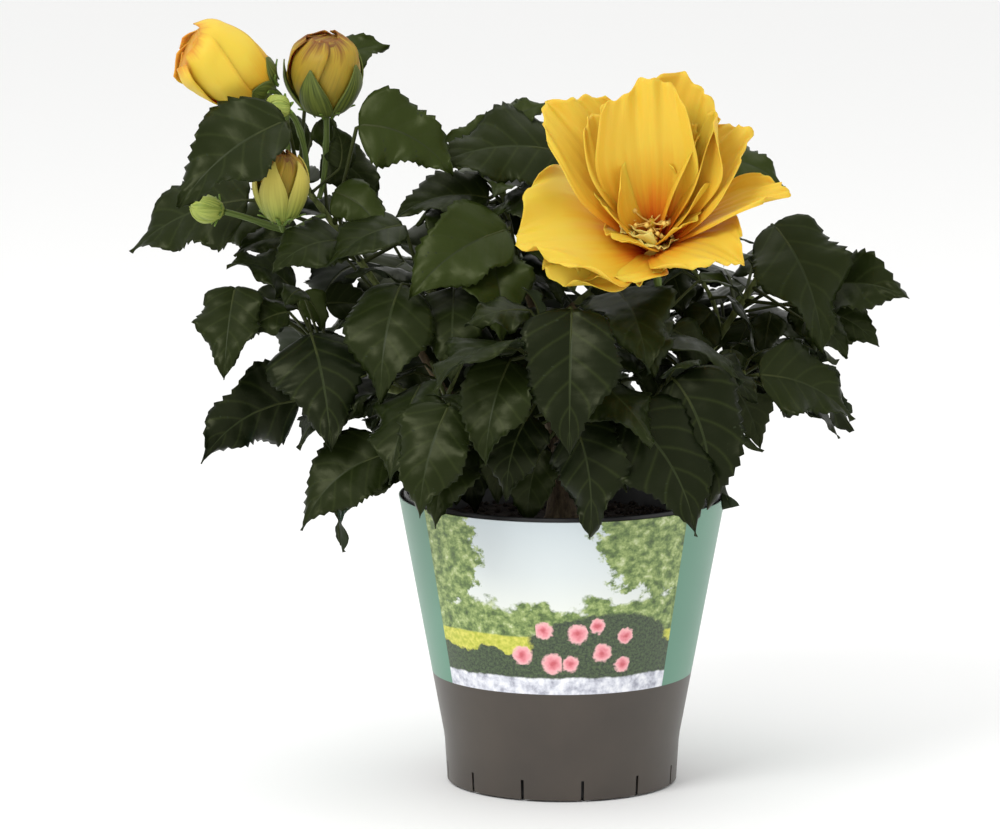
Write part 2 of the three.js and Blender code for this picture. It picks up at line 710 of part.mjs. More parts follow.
// Side twigs and leaves by the rule
function growShoot(name, number, leaves, twigs) {
  const { leaves: count, sides, size, turn } = shoots[name];
  const stem = stems[name];
  const lines = [{ path: stem, from: 0.12, count, size, turn }];
  for (let k = 0; k < sides; k++) {
    const at = mix(0.35, 0.7, (k + 0.5) / sides);
    const angle = turn + goldenTurn * (k * 3 + 1);
    const along = headingOn(stem, at);
    const axil = pointOn(stem, at);
    const aim = ruledLeaf(axil, along, angle, 0.8, size, (i) => chance(number, 90 + k, i));
    const reach = mix(30, 46, chance(number, 80 + k, 0));
    const way = aim.foot.clone().sub(axil).normalize().lerp(up, 0.25).normalize();
    const tip = axil.clone().addScaledVector(way, reach);
    const path = bentPath(axil, way.clone().lerp(along, 0.4).normalize(), tip, 3);
    const thing = limbThing([pointOn(path, 0.35), ...path.slice(2)], stemTipRadius, name);
    if (things.some((other) => meets(thing, other)) || !keepsToItsSpace(tip, name)) continue;
    things.push(thing);
    twigs.push(path);
    lines.push({ path, from: 0.45, count: 4, size: size * 0.78, turn: angle });
  }
  lines.forEach((line, row) => {
    for (let i = 0; i < line.count; i++) {
      const rise = i / Math.max(line.count - 1, 1);
      const at = mix(line.from, lastNode, Math.pow(rise, 0.85));
      const axil = pointOn(line.path, at);
      const seed = (k) => chance(number, row * 40 + i, k);
      const length = line.size * mix(1, 0.5, Math.pow(rise, 2.2)) * mix(0.88, 1.08, seed(0));
      const angle = line.turn + goldenTurn * i;
      const along = headingOn(line.path, at);
      const make = (swing, scale, attempt) =>
        ruledLeaf(axil, along, angle + swing, rise, length * scale, seed, attempt);
      placeLeaf(make, name, false, leaves);
    }
  });
}

// A petal's point: u from -1 to 1 across, t from 0 at its foot to 1 at its edge
function petalPoint([turn, length, halfWidth, footAngle, edgeAngle, roll, cup], u, t) {
  const axis = vec(flower.axis).normalize();
  const right = new THREE.Vector3().crossVectors(up, axis).normalize();
  const top = new THREE.Vector3().crossVectors(axis, right);
  const turnAngle = THREE.MathUtils.degToRad(turn);
  const out = right.multiplyScalar(Math.cos(turnAngle)).addScaledVector(top, Math.sin(turnAngle));
  const side = new THREE.Vector3().crossVectors(axis, out);
  const reach = t * (1 - 0.45 * (halfWidth / length) * u * u * t);
  const place = vec(flower.foot);
  const steps = 6;
  let lean = 0;
  for (let i = 0; i < steps; i++) {
    const mid = (reach * (i + 0.5)) / steps;
    lean = THREE.MathUtils.degToRad(mix(footAngle, edgeAngle, mid));
    place.addScaledVector(axis, (length * reach * Math.cos(lean)) / steps);
    place.addScaledVector(out, (length * reach * Math.sin(lean)) / steps);
  }
  const face = axis.clone().multiplyScalar(Math.sin(lean)).addScaledVector(out, -Math.cos(lean));
  const spread = mix(0.16, 1, Math.pow(Math.sin(Math.min(t / 0.75, 1) * Math.PI * 0.5), 1.3));
  const wide = halfWidth * spread * (1 - 0.25 * Math.pow(Math.max(2 * t - 1, 0), 2));
  const across = side.clone().multiplyScalar(Math.cos(roll)).addScaledVector(face, Math.sin(roll));
  return place.addScaledVector(across, wide * u).addScaledVector(face, halfWidth * cup * u * u * t);
}

// A thin slab over a sheet of points
function slab(grid, thickness) {
  const rows = grid.length;
  const columns = grid[0].length;
  const normalAt = (i, j) => {
    const down = grid[Math.min(i + 1, rows - 1)][j].clone().sub(grid[Math.max(i - 1, 0)][j]);
    const over = grid[i][Math.min(j + 1, columns - 1)].clone().sub(grid[i][Math.max(j - 1, 0)]);
    return new THREE.Vector3().crossVectors(down, over).normalize();
  };
  const layer = (share) => grid.flatMap((row, i) => row.map((p, j) =>
    p.clone().addScaledVector(normalAt(i, j), thickness * share)));
  const points = [...layer(0.5), ...layer(-0.5)];
  const under = rows * columns;
  const triangles = [];
  for (let i = 0; i + 1 < rows; i++) {
    for (let j = 0; j + 1 < columns; j++) {
      const [a, b] = [i * columns + j, i * columns + j + 1];
      const [c, d] = [b + columns, a + columns];
      triangles.push([a, b, c], [a, c, d]);
      triangles.push([under + a, under + c, under + b], [under + a, under + d, under + c]);
    }
  }
  const rim = [
    ...Array.from({ length: columns - 1 }, (_, j) => j),
    ...Array.from({ length: rows - 1 }, (_, i) => i * columns + columns - 1),
    ...Array.from({ length: columns - 1 }, (_, j) => rows * columns - 1 - j),
    ...Array.from({ length: rows - 1 }, (_, i) => (rows - 1 - i) * columns),
  ];
  rim.forEach((a, i) => {
    const b = rim[(i + 1) % rim.length];
    triangles.push([a, under + a, under + b], [a, under + b, b]);
  });
  return solidFrom(points, triangles);
}

function petalGrid(petal, rows, columns) {
  return Array.from({ length: rows + 1 }, (_, i) => Array.from({ length: columns + 1 }, (_, j) =>
    petalPoint(petal, (2 * j) / columns - 1, mix(0.03, 1, i / rows))));
}

function makeFlower() {
  const foot = vec(flower.foot);
  const axis = vec(flower.axis).normalize();
  const path = stalkPath(stems[flower.shoot], 1, foot, axis);
  const calyx = [-5, -2, 5, 11].map((d) => foot.clone().addScaledVector(axis, d));
  return fuse([
    tube(path, taper(stalkRadius, stalkRadius + 0.3, path.length), 5),
    tube(calyx, [1.5, 4.4, 6, 4.4], 8),
    ...flower.petals.map((petal) => slab(petalGrid(petal, 3, petal[2] > 14 ? 4 : 2), flower.thickness)),
  ]);
}

// A stalk that leaves a stem's side or end clear of it and reaches a foot along the bloom's axis
function stalkPath(stem, at, foot, axis) {
  const root = pointOn(stem, at);
  const along = headingOn(stem, at);
  const aim = foot.clone().addScaledVector(axis, -8).sub(root).normalize();
  const aside = aim.clone().addScaledVector(along, -aim.dot(along)).normalize();
  const way = at < 1 ? aside.multiplyScalar(0.85).addScaledVector(along, 0.53) : along.clone().lerp(aim, 0.3);
  way.normalize();
  const cos = Math.abs(way.dot(along));
  const sin = Math.sqrt(1 - cos * cos);
  const beside = 0.85 * mix(stemFootRadius, stemTipRadius, at) + seatGap;
  const clear = at < 1 ? (beside + 0.7 * stalkRadius * cos) / sin : (seatGap + stalkRadius * sin) / cos;
  const from = root.addScaledVector(way, clear);
  const curve = new THREE.CubicBezierCurve3(
    from, from.clone().addScaledVector(way, 8), foot.clone().addScaledVector(axis, -10), foot);
  return Array.from({ length: 7 }, (_, i) => curve.getPoint(i / 6));
}

// How wide a bud is along its length, from its foot to its tip
const budOutline = [[0, 0.25], [0.12, 0.62], [0.4, 0.96], [0.64, 1], [0.86, 0.7], [1, 0.16]];

function budRings(foot, axis, length, radius, sides) {
  const path = budOutline.map(([t]) => foot.clone().addScaledVector(axis, length * t));
  return ringsAlong(path, budOutline.map(([, r]) => radius * r), sides);
}

// The green cup round a bud's foot, with five points, or all of it on a bud that shows no petals yet
function calyxSolid(foot, axis, length, radius) {
  const side = new THREE.Vector3().crossVectors(axis, sideways(axis)).normalize();
  const over = new THREE.Vector3().crossVectors(axis, side);
  const cup = [[0, 0.28], [0.14, 0.74], [0.36, 1.02]];
  const rings = cup.map(([t, r], row) => Array.from({ length: 10 }, (_, k) => {
    const high = row === 2 ? (k % 2 ? 0.24 : -0.08) : 0;
    const a = (2 * Math.PI * k) / 10;
    return foot.clone().addScaledVector(axis, length * (t + high))
      .addScaledVector(side, radius * r * Math.cos(a)).addScaledVector(over, radius * r * Math.sin(a));
  }));
  return loft([...rings, [foot.clone().addScaledVector(axis, length * 0.2)]]);
}

function makeBud([at, footPlace, axisWay, length, radius, open]) {
  const foot = vec(footPlace);
  const axis = vec(axisWay).normalize();
  const path = stalkPath(stems.left_top, at, foot, axis);
  const solids = [
    tube(path, taper(stalkRadius * 0.85, stalkRadius, path.length), 4),
    loft(budRings(foot, axis, length, radius, open ? 9 : 6)),
  ];
  if (open) solids.push(calyxSolid(foot, axis, length, radius));
  return fuse(solids);
}

function makeMesh(name, solid, colour) {
  const { vertProperties, triVerts } = solid.getMesh();
  const geometry = new THREE.BufferGeometry();
  geometry.setAttribute("position", new THREE.BufferAttribute(vertProperties, 3));
  geometry.setIndex(new THREE.BufferAttribute(triVerts, 1));
  geometry.computeVertexNormals();
  const [color, roughness] = colours[colour];
  const material = new THREE.MeshStandardMaterial({ color, roughness, metalness: 0, flatShading: true });
  const mesh = new THREE.Mesh(geometry, material);
  mesh.name = name;
  return mesh;
}

const plant = new THREE.Group();
plant.add(makeMesh("pot", makePot(), "pot"));
plant.add(makeMesh("sleeve", makeSleeve(), "sleeve"));
plant.add(makeMesh("soil", makeSoil(), "soil"));
plant.add(makeMesh("trunk", makeTrunk(), "bark"));
plant.add(makeMesh("flower_open", makeFlower(), "petal"));

things.push(limbThing([new THREE.Vector3(0, 0, soilTop), vec(trunkTop)], trunkFootRadius, "trunk"));
for (const [name, bough] of Object.entries(boughs)) {
  plant.add(makeMesh("bough_" + name, makeBough(bough), "bark"));
  things.push(limbThing(boughPath(bough), boughFootRadius, name));
}
for (const [name, stem] of Object.entries(stems)) things.push(limbThing(stem, stemFootRadius, name));
for (const [name, bud] of Object.entries(buds)) {
  plant.add(makeMesh(name, makeBud(bud), "bud"));
  const [at, footPlace, axisWay, length, radius] = bud;
  const rings = budRings(vec(footPlace), vec(axisWay).normalize(), length, radius + 2, 6);
  things.push(sheetThing(rings.map((ring) => [...ring, ring[0]]), 0.5, name));
  const stalk = stalkPath(stems.left_top, at, vec(footPlace), vec(axisWay).normalize());
  things.push(limbThing(stalk.slice(1), stalkRadius, name));
}
for (const petal of flower.petals) things.push(sheetThing(petalGrid(petal, 4, 2), 2.5, "flower_open"));
const flowerStalk = stalkPath(stems.flower, 1, vec(flower.foot), vec(flower.axis).normalize());
things.push(limbThing(flowerStalk, stalkRadius + 2, "flower_open"));

const grown = Object.fromEntries(Object.keys(shoots).map((name) => [name, { leaves: [], twigs: [] }]));
Object.keys(shoots).forEach((name, number) => poseLeaves(name, number, grown[name].leaves));
Object.keys(shoots).forEach((name, number) => growShoot(name, number, grown[name].leaves, grown[name].twigs));

for (const [name, { leaves, twigs }] of Object.entries(grown)) {
  const stem = stems[name];
  const solids = [
    tube(stem, taper(stemFootRadius, stemTipRadius, stem.length), 4),
    ...twigs.map((path) => tube(path, taper(stemTipRadius, stemTipRadius * 0.8, path.length), 3)),
    ...leaves.map(leafSolid),
  ];
  plant.add(makeMesh("leaves_" + name, fuse(solids), "leaf"));
}

export default plant;
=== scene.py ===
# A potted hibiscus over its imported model: a black pot in a printed card sleeve, the wood, fifteen leafy
# shoots, one open double flower and five buds. Growth is worked out in millimetres, by the same rule as in
# the solids.
import bpy
import math
import numpy as np
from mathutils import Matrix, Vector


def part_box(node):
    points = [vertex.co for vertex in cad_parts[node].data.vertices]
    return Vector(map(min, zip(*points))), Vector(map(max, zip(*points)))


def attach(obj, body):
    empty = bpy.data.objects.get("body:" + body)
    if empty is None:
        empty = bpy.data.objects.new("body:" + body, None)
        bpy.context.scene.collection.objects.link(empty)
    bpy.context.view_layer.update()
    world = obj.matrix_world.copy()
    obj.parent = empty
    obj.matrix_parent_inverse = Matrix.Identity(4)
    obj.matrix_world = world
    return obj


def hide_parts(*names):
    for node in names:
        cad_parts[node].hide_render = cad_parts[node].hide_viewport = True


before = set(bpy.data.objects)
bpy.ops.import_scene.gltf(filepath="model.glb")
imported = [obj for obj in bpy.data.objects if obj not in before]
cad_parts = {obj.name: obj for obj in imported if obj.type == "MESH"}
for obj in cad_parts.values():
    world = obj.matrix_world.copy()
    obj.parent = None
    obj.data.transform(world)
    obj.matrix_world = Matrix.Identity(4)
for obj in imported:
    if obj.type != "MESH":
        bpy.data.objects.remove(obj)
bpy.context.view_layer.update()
mm = 0.001
print("frame loaded:", len(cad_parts), "solids")


# Small helpers for objects and node materials

def deselectAll():
    if bpy.context.object and bpy.context.object.mode != "OBJECT":
        bpy.ops.object.mode_set(mode="OBJECT")
    bpy.ops.object.select_all(action="DESELECT")


def makeActive(piece):
    deselectAll()
    piece.select_set(True)
    bpy.context.view_layer.objects.active = piece


def applyAll(piece):
    makeActive(piece)
    for modifier in list(piece.modifiers):
        bpy.ops.object.modifier_apply(modifier=modifier.name)


def settle(piece):
    # place, turn and scale go into the mesh, because the export puts every object at the origin
    makeActive(piece)
    bpy.ops.object.transform_apply(location=True, rotation=True, scale=True)


def selectFaces(piece, wanted):
    # in edit mode: the faces whose middle passes the test, in millimetres
    bpy.ops.mesh.select_all(action="DESELECT")
    bpy.ops.object.mode_set(mode="OBJECT")
    for face in piece.data.polygons:
        face.select = bool(wanted(face.center / mm))
    bpy.ops.object.mode_set(mode="EDIT")


def smoothByAngle(piece, degrees):
    makeActive(piece)
    bpy.ops.object.shade_smooth_by_angle(angle=math.radians(degrees))


def colour(red, green, blue):
    # a screen colour from 0 to 255 as Blender's linear one
    def linear(part):
        part /= 255
        return part / 12.92 if part <= 0.04045 else ((part + 0.055) / 1.055) ** 2.4
    return (linear(red), linear(green), linear(blue), 1)


def surface(name, **sockets):
    material = bpy.data.materials.new(name)
    material.use_nodes = True
    shader = material.node_tree.nodes["Principled BSDF"]
    for socket, value in sockets.items():
        shader.inputs[socket.replace("_", " ")].default_value = value
    return material


def node(material, kind, inputs, **settings):
    made = material.node_tree.nodes.new("ShaderNode" + kind)
    for name, value in settings.items():
        setattr(made, name, value)
    for socket, value in inputs.items():
        if isinstance(value, bpy.types.NodeSocket):
            material.node_tree.links.new(value, made.inputs[socket])
        else:
            made.inputs[socket].default_value = value
    return made


def reckon(material, operation, first, second=0.0):
    return node(material, "Math", {0: first, 1: second}, operation=operation).outputs[0]


def plus(material, first, second):
    return reckon(material, "ADD", first, second)


def minus(material, first, second):
    return reckon(material, "SUBTRACT", first, second)


def times(material, first, second):
    return reckon(material, "MULTIPLY", first, second)


def divided(material, first, second):
    return reckon(material, "DIVIDE", first, second)


def sway(material, grain, amount):
    # a noise moved to sway about 0
    return times(material, minus(material, grain, 0.5), amount)


def blendColours(material, share, first, second):
    return node(material, "Mix", {0: share, 6: first, 7: second}, data_type="RGBA").outputs[2]


def ramp(material, share, stops):
    made = node(material, "ValToRGB", {0: share})
    points = made.color_ramp.elements
    while len(points) < len(stops):
        points.new(0.5)
    for point, (place, value) in zip(points, stops):
        point.position = place
        point.color = value if isinstance(value, tuple) else (value, value, value, 1)
    return made.outputs[0]


def noise(material, place, scale, detail=3, roughness=0.5):
    inputs = {"Vector": place, "Scale": scale, "Detail": detail, "Roughness": roughness}
    return node(material, "TexNoise", inputs).outputs[0]


def objectPlace(material, stretch=(1, 1, 1)):
    place = node(material, "TexCoord", {}).outputs["Object"]
    return node(material, "Mapping", {"Vector": place, "Scale": stretch}).outputs[0]


def paint(material, value, bump=None, strength=0.3, depth=0.0004):
    # colour, and if given a height, go to the material's shader
    shader = material.node_tree.nodes["Principled BSDF"]
    material.node_tree.links.new(value, shader.inputs["Base Color"])
    if bump:
        inputs = {"Height": bump, "Strength": strength, "Distance": depth}
        material.node_tree.links.new(node(material, "Bump", inputs).outputs[0], shader.inputs["Normal"])
    return material


def dress(piece, slot, *nodes):
    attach(piece, "root")
    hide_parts(*nodes)


# Joined meshes from arrays. A part is its points, its faces, a material for each face and a place on the
# piece's own map for each point.

def addPart(parts, points, faces, slots, places=None):
    points = np.asarray(points, float).reshape(-1, 3)
    places = np.zeros((len(points), 2)) if places is None else np.asarray(places, float).reshape(-1, 2)
    slots = np.full(len(faces), slots) if np.isscalar(slots) else np.asarray(slots)
    parts.append((points, faces, slots, places))


def joinParts(name, parts, materials):
    start = 0
    faces, slots = [], []
    for points, partFaces, partSlots, _ in parts:
        faces += [[start + corner for corner in face] for face in partFaces]
        slots.append(partSlots)
        start += len(points)
    mesh = bpy.data.meshes.new(name)
    mesh.from_pydata(np.concatenate([part[0] for part in parts]) * mm, [], faces)
    for material in materials:
        mesh.materials.append(material)
    mesh.polygons.foreach_set("material_index", np.concatenate(slots).astype(np.int32))
    mesh.polygons.foreach_set("use_smooth", np.ones(len(faces), bool))
    corners = np.zeros(len(mesh.loops), np.int32)
    mesh.loops.foreach_get("vertex_index", corners)
    places = np.concatenate([part[3] for part in parts])[corners]
    mesh.uv_layers.new(name="places").data.foreach_set("uv", places.astype(np.float32).ravel())
    mesh.update()
    piece = bpy.data.objects.new(name, mesh)
    bpy.context.scene.collection.objects.link(piece)
    return piece


# the eight-sided grain that soil crumbs and pollen are made of
grainCorners = np.array([[1, 0, 0], [-1, 0, 0], [0, 1, 0], [0, -1, 0], [0, 0, 1], [0, 0, -1]], float)
grainFaces = [[0, 2, 4], [2, 1, 4], [1, 3, 4], [3, 0, 4], [2, 0, 5], [1, 2, 5], [3, 1, 5], [0, 3, 5]]


def sheetNormals(grid):
    across = np.gradient(grid, axis=1)
    along = np.gradient(grid, axis=0)
    normals = np.cross(across, along)
    return normals / np.maximum(np.linalg.norm(normals, axis=2, keepdims=True), 1e-9)


slabFaceLists = {}


def slabFaces(rows, columns):
    # top sheet, bottom sheet and rim of a closed slab over a grid of points
    if (rows, columns) not in slabFaceLists:
        at = np.arange(rows * columns).reshape(rows, columns)
        under = rows * columns
        top = np.stack([at[:-1, :-1], at[:-1, 1:], at[1:, 1:], at[1:, :-1]], axis=-1).reshape(-1, 4)
        edge = np.concatenate([at[0, :-1], at[:-1, -1], at[-1, :0:-1], at[:0:-1, 0]])
        after = np.roll(edge, -1)
        rim = np.stack([after, edge, edge + under, after + under], axis=-1)
        bottom = top[:, ::-1] + under
        slabFaceLists[rows, columns] = (top.tolist(), bottom.tolist(), rim.tolist())
    return slabFaceLists[rows, columns]


def addSlab(parts, grid, thickness, topSlots, bottomSlot, places):
    rows, columns = grid.shape[:2]
    offset = sheetNormals(grid) * np.broadcast_to(thickness, (rows, columns))[..., None] / 2
    top, bottom, rim = slabFaces(rows, columns)
    topSlots = np.full(len(top), topSlots) if np.isscalar(topSlots) else topSlots.ravel()
    slots = np.concatenate([topSlots, np.full(len(bottom) + len(rim), bottomSlot)])
    points = np.concatenate([(grid + offset).reshape(-1, 3), (grid - offset).reshape(-1, 3)])
    addPart(parts, points, top + bottom + rim, slots, np.concatenate([places.reshape(-1, 2)] * 2))


def unit(way):
    way = np.asarray(way, float)
    return way / np.maximum(np.linalg.norm(way, axis=-1, keepdims=True), 1e-12)


def ringsAlong(path, radii, sides):
    # rings round a path, turned as little as possible from one to the next
    path = np.asarray(path, float)
    after = np.concatenate([path[1:], path[-1:]])
    before = np.concatenate([path[:1], path[:-1]])
    ways = unit(after - before)
    side = np.array([1.0, 0, 0]) if abs(ways[0][2]) > 0.9 else np.array([0, 0, 1.0])
    angles = 2 * math.pi * np.arange(sides) / sides
    rings = []
    for place, way, radius in zip(path, ways, radii):
        side = unit(side - way * side.dot(way))
        over = np.cross(way, side)
        rings.append(place + radius * (np.outer(np.cos(angles), side) + np.outer(np.sin(angles), over)))
    return np.array(rings)


def ringFaces(count, sides):
    # the faces of a closed tube from ring to ring, and its two ends
    faces = []
    for low, high in zip(range(0, count * sides, sides), range(sides, count * sides, sides)):
        for k in range(sides):
            after = (k + 1) % sides
            faces.append([low + k, low + after, high + after, high + k])
    return faces + [list(range(sides))[::-1], list(range((count - 1) * sides, count * sides))]


def addTube(parts, path, radii, sides, slot):
    rings = ringsAlong(path, radii, sides)
    count = len(rings)
    along = np.repeat(np.linspace(0, 1, count), sides)
    around = np.tile(np.arange(sides) / sides, count)
    addPart(parts, rings, ringFaces(count, sides), slot, np.stack([around, along], axis=1))


def smoothPath(path, count):
    # more points along the same path, bent smoothly through the given ones
    path = np.asarray(path, float)
    padded = np.concatenate([[2 * path[0] - path[1]], path, [2 * path[-1] - path[-2]]])
    made = []
    for place in np.linspace(0, len(path) - 1 - 1e-9, count):
        i = int(place)
        t = place - i
        a, b, c, d = padded[i:i + 4]
        made.append(0.5 * (2 * b + (c - a) * t + (2 * a - 5 * b + 4 * c - d) * t * t
                           + (3 * b - a - 3 * c + d) * t ** 3))
    return np.array(made)


# Stage, lights and camera

stageLook = {
    "floorSize": 30, # metres
    "floorColour": colour(247, 247, 246), "floorGrain": colour(235, 235, 234),
    "worldStrength": 0.95,
    "lightAim": (0, 0, 0.17),
    "lights": { # power, size and place
        "key": (15, 0.7, (-0.85, -1.1, 1.3)),
        "fill": (2, 1.2, (1.5, -1.1, 0.7)),
        "top": (5, 1.2, (0.15, 0.35, 1.7)),
    },
}


def addLight(name, power, size, place):
    deselectAll()
    bpy.ops.object.light_add(type="AREA", location=place)
    light = bpy.context.object
    light.name = name
    light.data.energy = power
    light.data.size = size
    way = np.array(stageLook["lightAim"]) - np.array(place)
    level = math.hypot(way[0], way[1])
    light.rotation_euler = (math.atan2(level, -way[2]), 0, math.atan2(way[1], way[0]) - math.pi / 2)


def makeStage():
    deselectAll()
    bpy.ops.mesh.primitive_plane_add(size=stageLook["floorSize"])
    floor = bpy.context.object
    floor.name = "floor"
    material = surface("paleFloor", Roughness=0.75)
    grain = times(material, noise(material, objectPlace(material), 2.0), 0.04)
    paint(material, blendColours(material, grain, stageLook["floorColour"], stageLook["floorGrain"]))
    floor.data.materials.append(material)
    world = bpy.data.worlds.new("studio")
    world.use_nodes = True
    world.node_tree.nodes["Background"].inputs["Color"].default_value = (1, 1, 1, 1)
    world.node_tree.nodes["Background"].inputs["Strength"].default_value = stageLook["worldStrength"]
    bpy.context.scene.world = world
    for name, (power, size, place) in stageLook["lights"].items():
        addLight(name, power, size, place)
    bpy.context.scene.view_settings.view_transform = "Standard"


cameraView = {
    "distance": 3000, "elevation": 9.5, "aimX": -25.8, "aimZ": 153.8, "sensor": 36,
    "widthAtPlant": 414, # how much of the plant's plane the frame's width takes in
}


def makeCamera():
    lean = math.radians(cameraView["elevation"])
    x, far = cameraView["aimX"], cameraView["distance"]
    place = (x * mm, -far * math.cos(lean) * mm, (cameraView["aimZ"] + far * math.sin(lean)) * mm)
    deselectAll()
    bpy.ops.object.camera_add(location=place, rotation=(math.pi / 2 - lean, 0, 0))
    camera = bpy.context.object
    camera.data.sensor_width = cameraView["sensor"]
    camera.data.lens = cameraView["sensor"] * far / cameraView["widthAtPlant"]
    camera.data.clip_end = 100
    bpy.context.scene.camera = camera


# Pot, soil and sleeve, turned ring by ring from the frame's own sizes

potLook = {
    "sides": 128, "wall": 1.3, "floor": 1.6, "lipHeight": 7, "taper": 0.148, "footRadius": 44.6,
    "drains": 8, "drainRadius": 3.5, "drainRing": 33,
}


def turnedPiece(name, profile, sides):
    # a ring is extruded and scaled from one station of the profile to the next, and both ends are filled
    deselectAll()
    radius, height = profile[0]
    bpy.ops.mesh.primitive_circle_add(vertices=sides, radius=radius * mm, location=(0, 0, height * mm))
    piece = bpy.context.object
    piece.name = name
    settle(piece)
    bpy.ops.object.mode_set(mode="EDIT")
    bpy.ops.mesh.select_all(action="SELECT")
    for (radius, height), (nextRadius, nextHeight) in zip(profile, profile[1:]):
        bpy.ops.mesh.extrude_edges_move(
            TRANSFORM_OT_translate={"value": (0, 0, (nextHeight - height) * mm)})
        scale = nextRadius / radius
        bpy.ops.transform.resize(value=(scale, scale, 1), center_override=(0, 0, nextHeight * mm))
    bpy.ops.mesh.edge_face_add()
    bpy.ops.mesh.select_all(action="DESELECT")
    bpy.ops.object.mode_set(mode="OBJECT")
    first = range(sides)
    for edge in piece.data.edges:
        edge.select = all(corner in first for corner in edge.vertices)
    bpy.ops.object.mode_set(mode="EDIT")
    bpy.ops.mesh.edge_face_add()
    bpy.ops.mesh.select_all(action="SELECT")
    bpy.ops.mesh.normals_make_consistent(inside=False)
    bpy.ops.object.mode_set(mode="OBJECT")
    return piece


def makePot():
    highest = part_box("pot")[1]
    top, lipRadius = highest[2] / mm, highest[0] / mm
    wall, floor = potLook["wall"], potLook["floor"]
    lipFoot = top - potLook["lipHeight"]
    inner = lipRadius - wall
    outside = lambda z: potLook["footRadius"] + potLook["taper"] * z
    profile = [
        (outside(0) - 9, 0), (outside(0) - 1.6, 0), (outside(0.5) - 0.5, 0.5), (outside(1.6), 1.6),
        (outside(30), 30), (outside(60), 60), (outside(lipFoot - 20), lipFoot - 20),
        (outside(lipFoot), lipFoot),
        (lipRadius - 0.5, lipFoot + 0.4), (lipRadius, lipFoot + 1), (lipRadius, top - 0.9),
        (lipRadius - 0.3, top - 0.3), (lipRadius - 0.9, top), (inner + 0.1, top - 0.1), (inner, top - 0.6),
        (inner, lipFoot + 2.4), (outside(lipFoot) - wall, lipFoot + 1),
        (outside(60) - wall, 60), (outside(4) - wall, 4), (outside(2) - wall - 1.4, floor), (20, floor),
    ]
    pot = turnedPiece("potShell", profile, potLook["sides"])
    deselectAll()
    drainRing = potLook["drainRing"] * mm
    for k in range(potLook["drains"]):
        angle = 2 * math.pi * k / potLook["drains"]
        bpy.ops.mesh.primitive_cylinder_add(
            vertices=24, radius=potLook["drainRadius"] * mm, depth=12 * mm,
            location=(drainRing * math.cos(angle), drainRing * math.sin(angle), 0))
        drill = bpy.context.object
        cut = pot.modifiers.new("drain", "BOOLEAN")
        cut.operation = "DIFFERENCE"
        cut.object = drill
        applyAll(pot)
        bpy.data.objects.remove(drill)
    plastic = surface("blackPlastic", Roughness=0.42)
    grain = noise(plastic, objectPlace(plastic), 900, 2)
    shade = ramp(plastic, noise(plastic, objectPlace(plastic), 30),
                 [(0.3, colour(24, 24, 25)), (0.8, colour(34, 34, 35))])
    paint(plastic, shade, grain, 0.15, 0.0002)
    pot.data.materials.append(plastic)
    smoothByAngle(pot, 35)
    dress(pot, "pot_plastic", "pot")


soilLook = {
    "crumbs": 420, "crumbSize": (0.7, 2.3), "lumpHeight": 1.6,
    # how far the soil's face lies under its top, at shares of its radius
    "mound": ((0.97, 1.9), (0.9, 1), (0.8, 1.1), (0.7, 1.6), (0.6, 1.8), (0.5, 1.5), (0.4, 1), (0.3, 0.5),
              (0.2, 0.2), (0.1, 0)),
}


def makeSoil(draw):
    lowest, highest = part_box("soil")
    top, foot = highest[2] / mm, lowest[2] / mm
    rim = highest[0] / mm
    footRadius = rim - potLook["taper"] * (top - foot)
    profile = [(footRadius - 1.6, foot), (footRadius + 0.4, foot + 2.5), (rim - 0.6, top - 3)]
    profile += [(rim * share, top - fall) for share, fall in soilLook["mound"]]
    soil = turnedPiece("pottingSoil", profile, 96)
    lumps = bpy.data.textures.new("lumps", "CLOUDS")
    lumps.noise_scale = 5 * mm
    makeActive(soil)
    bpy.ops.object.mode_set(mode="EDIT")
    selectFaces(soil, lambda middle: middle.z > top - 2.6)
    bpy.ops.mesh.subdivide(number_cuts=2)
    bpy.ops.object.mode_set(mode="OBJECT")
    lift = soil.modifiers.new("lumps", "DISPLACE")
    lift.texture = lumps
    lift.texture_coords = "LOCAL"
    lift.direction = "Z"
    lift.mid_level = 0.6
    lift.strength = soilLook["lumpHeight"] * mm
    raised = soil.vertex_groups.new(name="raised")
    inside = [corner.index for corner in soil.data.vertices
              if corner.co.z > (top - 2.4) * mm and corner.co.xy.length < rim * 0.96 * mm]
    raised.add(inside, 1, "REPLACE")
    lift.vertex_group = "raised"
    applyAll(soil)
    peat = surface("dampPeat", Roughness=0.95)
    place = objectPlace(peat)
    shade = ramp(peat, noise(peat, place, 260, 6, 0.7),
                 [(0.3, colour(22, 16, 12)), (0.55, colour(46, 34, 26)), (0.8, colour(82, 64, 48))])
    paint(peat, shade, noise(peat, place, 700, 4), 0.8, 0.0008)
    soil.data.materials.append(peat)
    dress(soil, "soil", "soil")
    crumbs = []
    for _ in range(soilLook["crumbs"]):
        away = rim * 0.95 * math.sqrt(draw.random())
        angle = 2 * math.pi * draw.random()
        size = draw.uniform(*soilLook["crumbSize"])
        shape = grainCorners * size * draw.uniform(0.6, 1.3, 3) * [1, 1, 0.7]
        turn = draw.uniform(0, math.pi)
        c, s = math.cos(turn), math.sin(turn)
        spin = np.array([[c, s, 0], [-s, c, 0], [0, 0, 1]])
        place = [away * math.cos(angle), away * math.sin(angle), top - 0.8]
        addPart(crumbs, shape @ spin + place, grainFaces, 0)
    piece = joinParts("soilCrumbs", crumbs, [peat])
    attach(piece, "root")


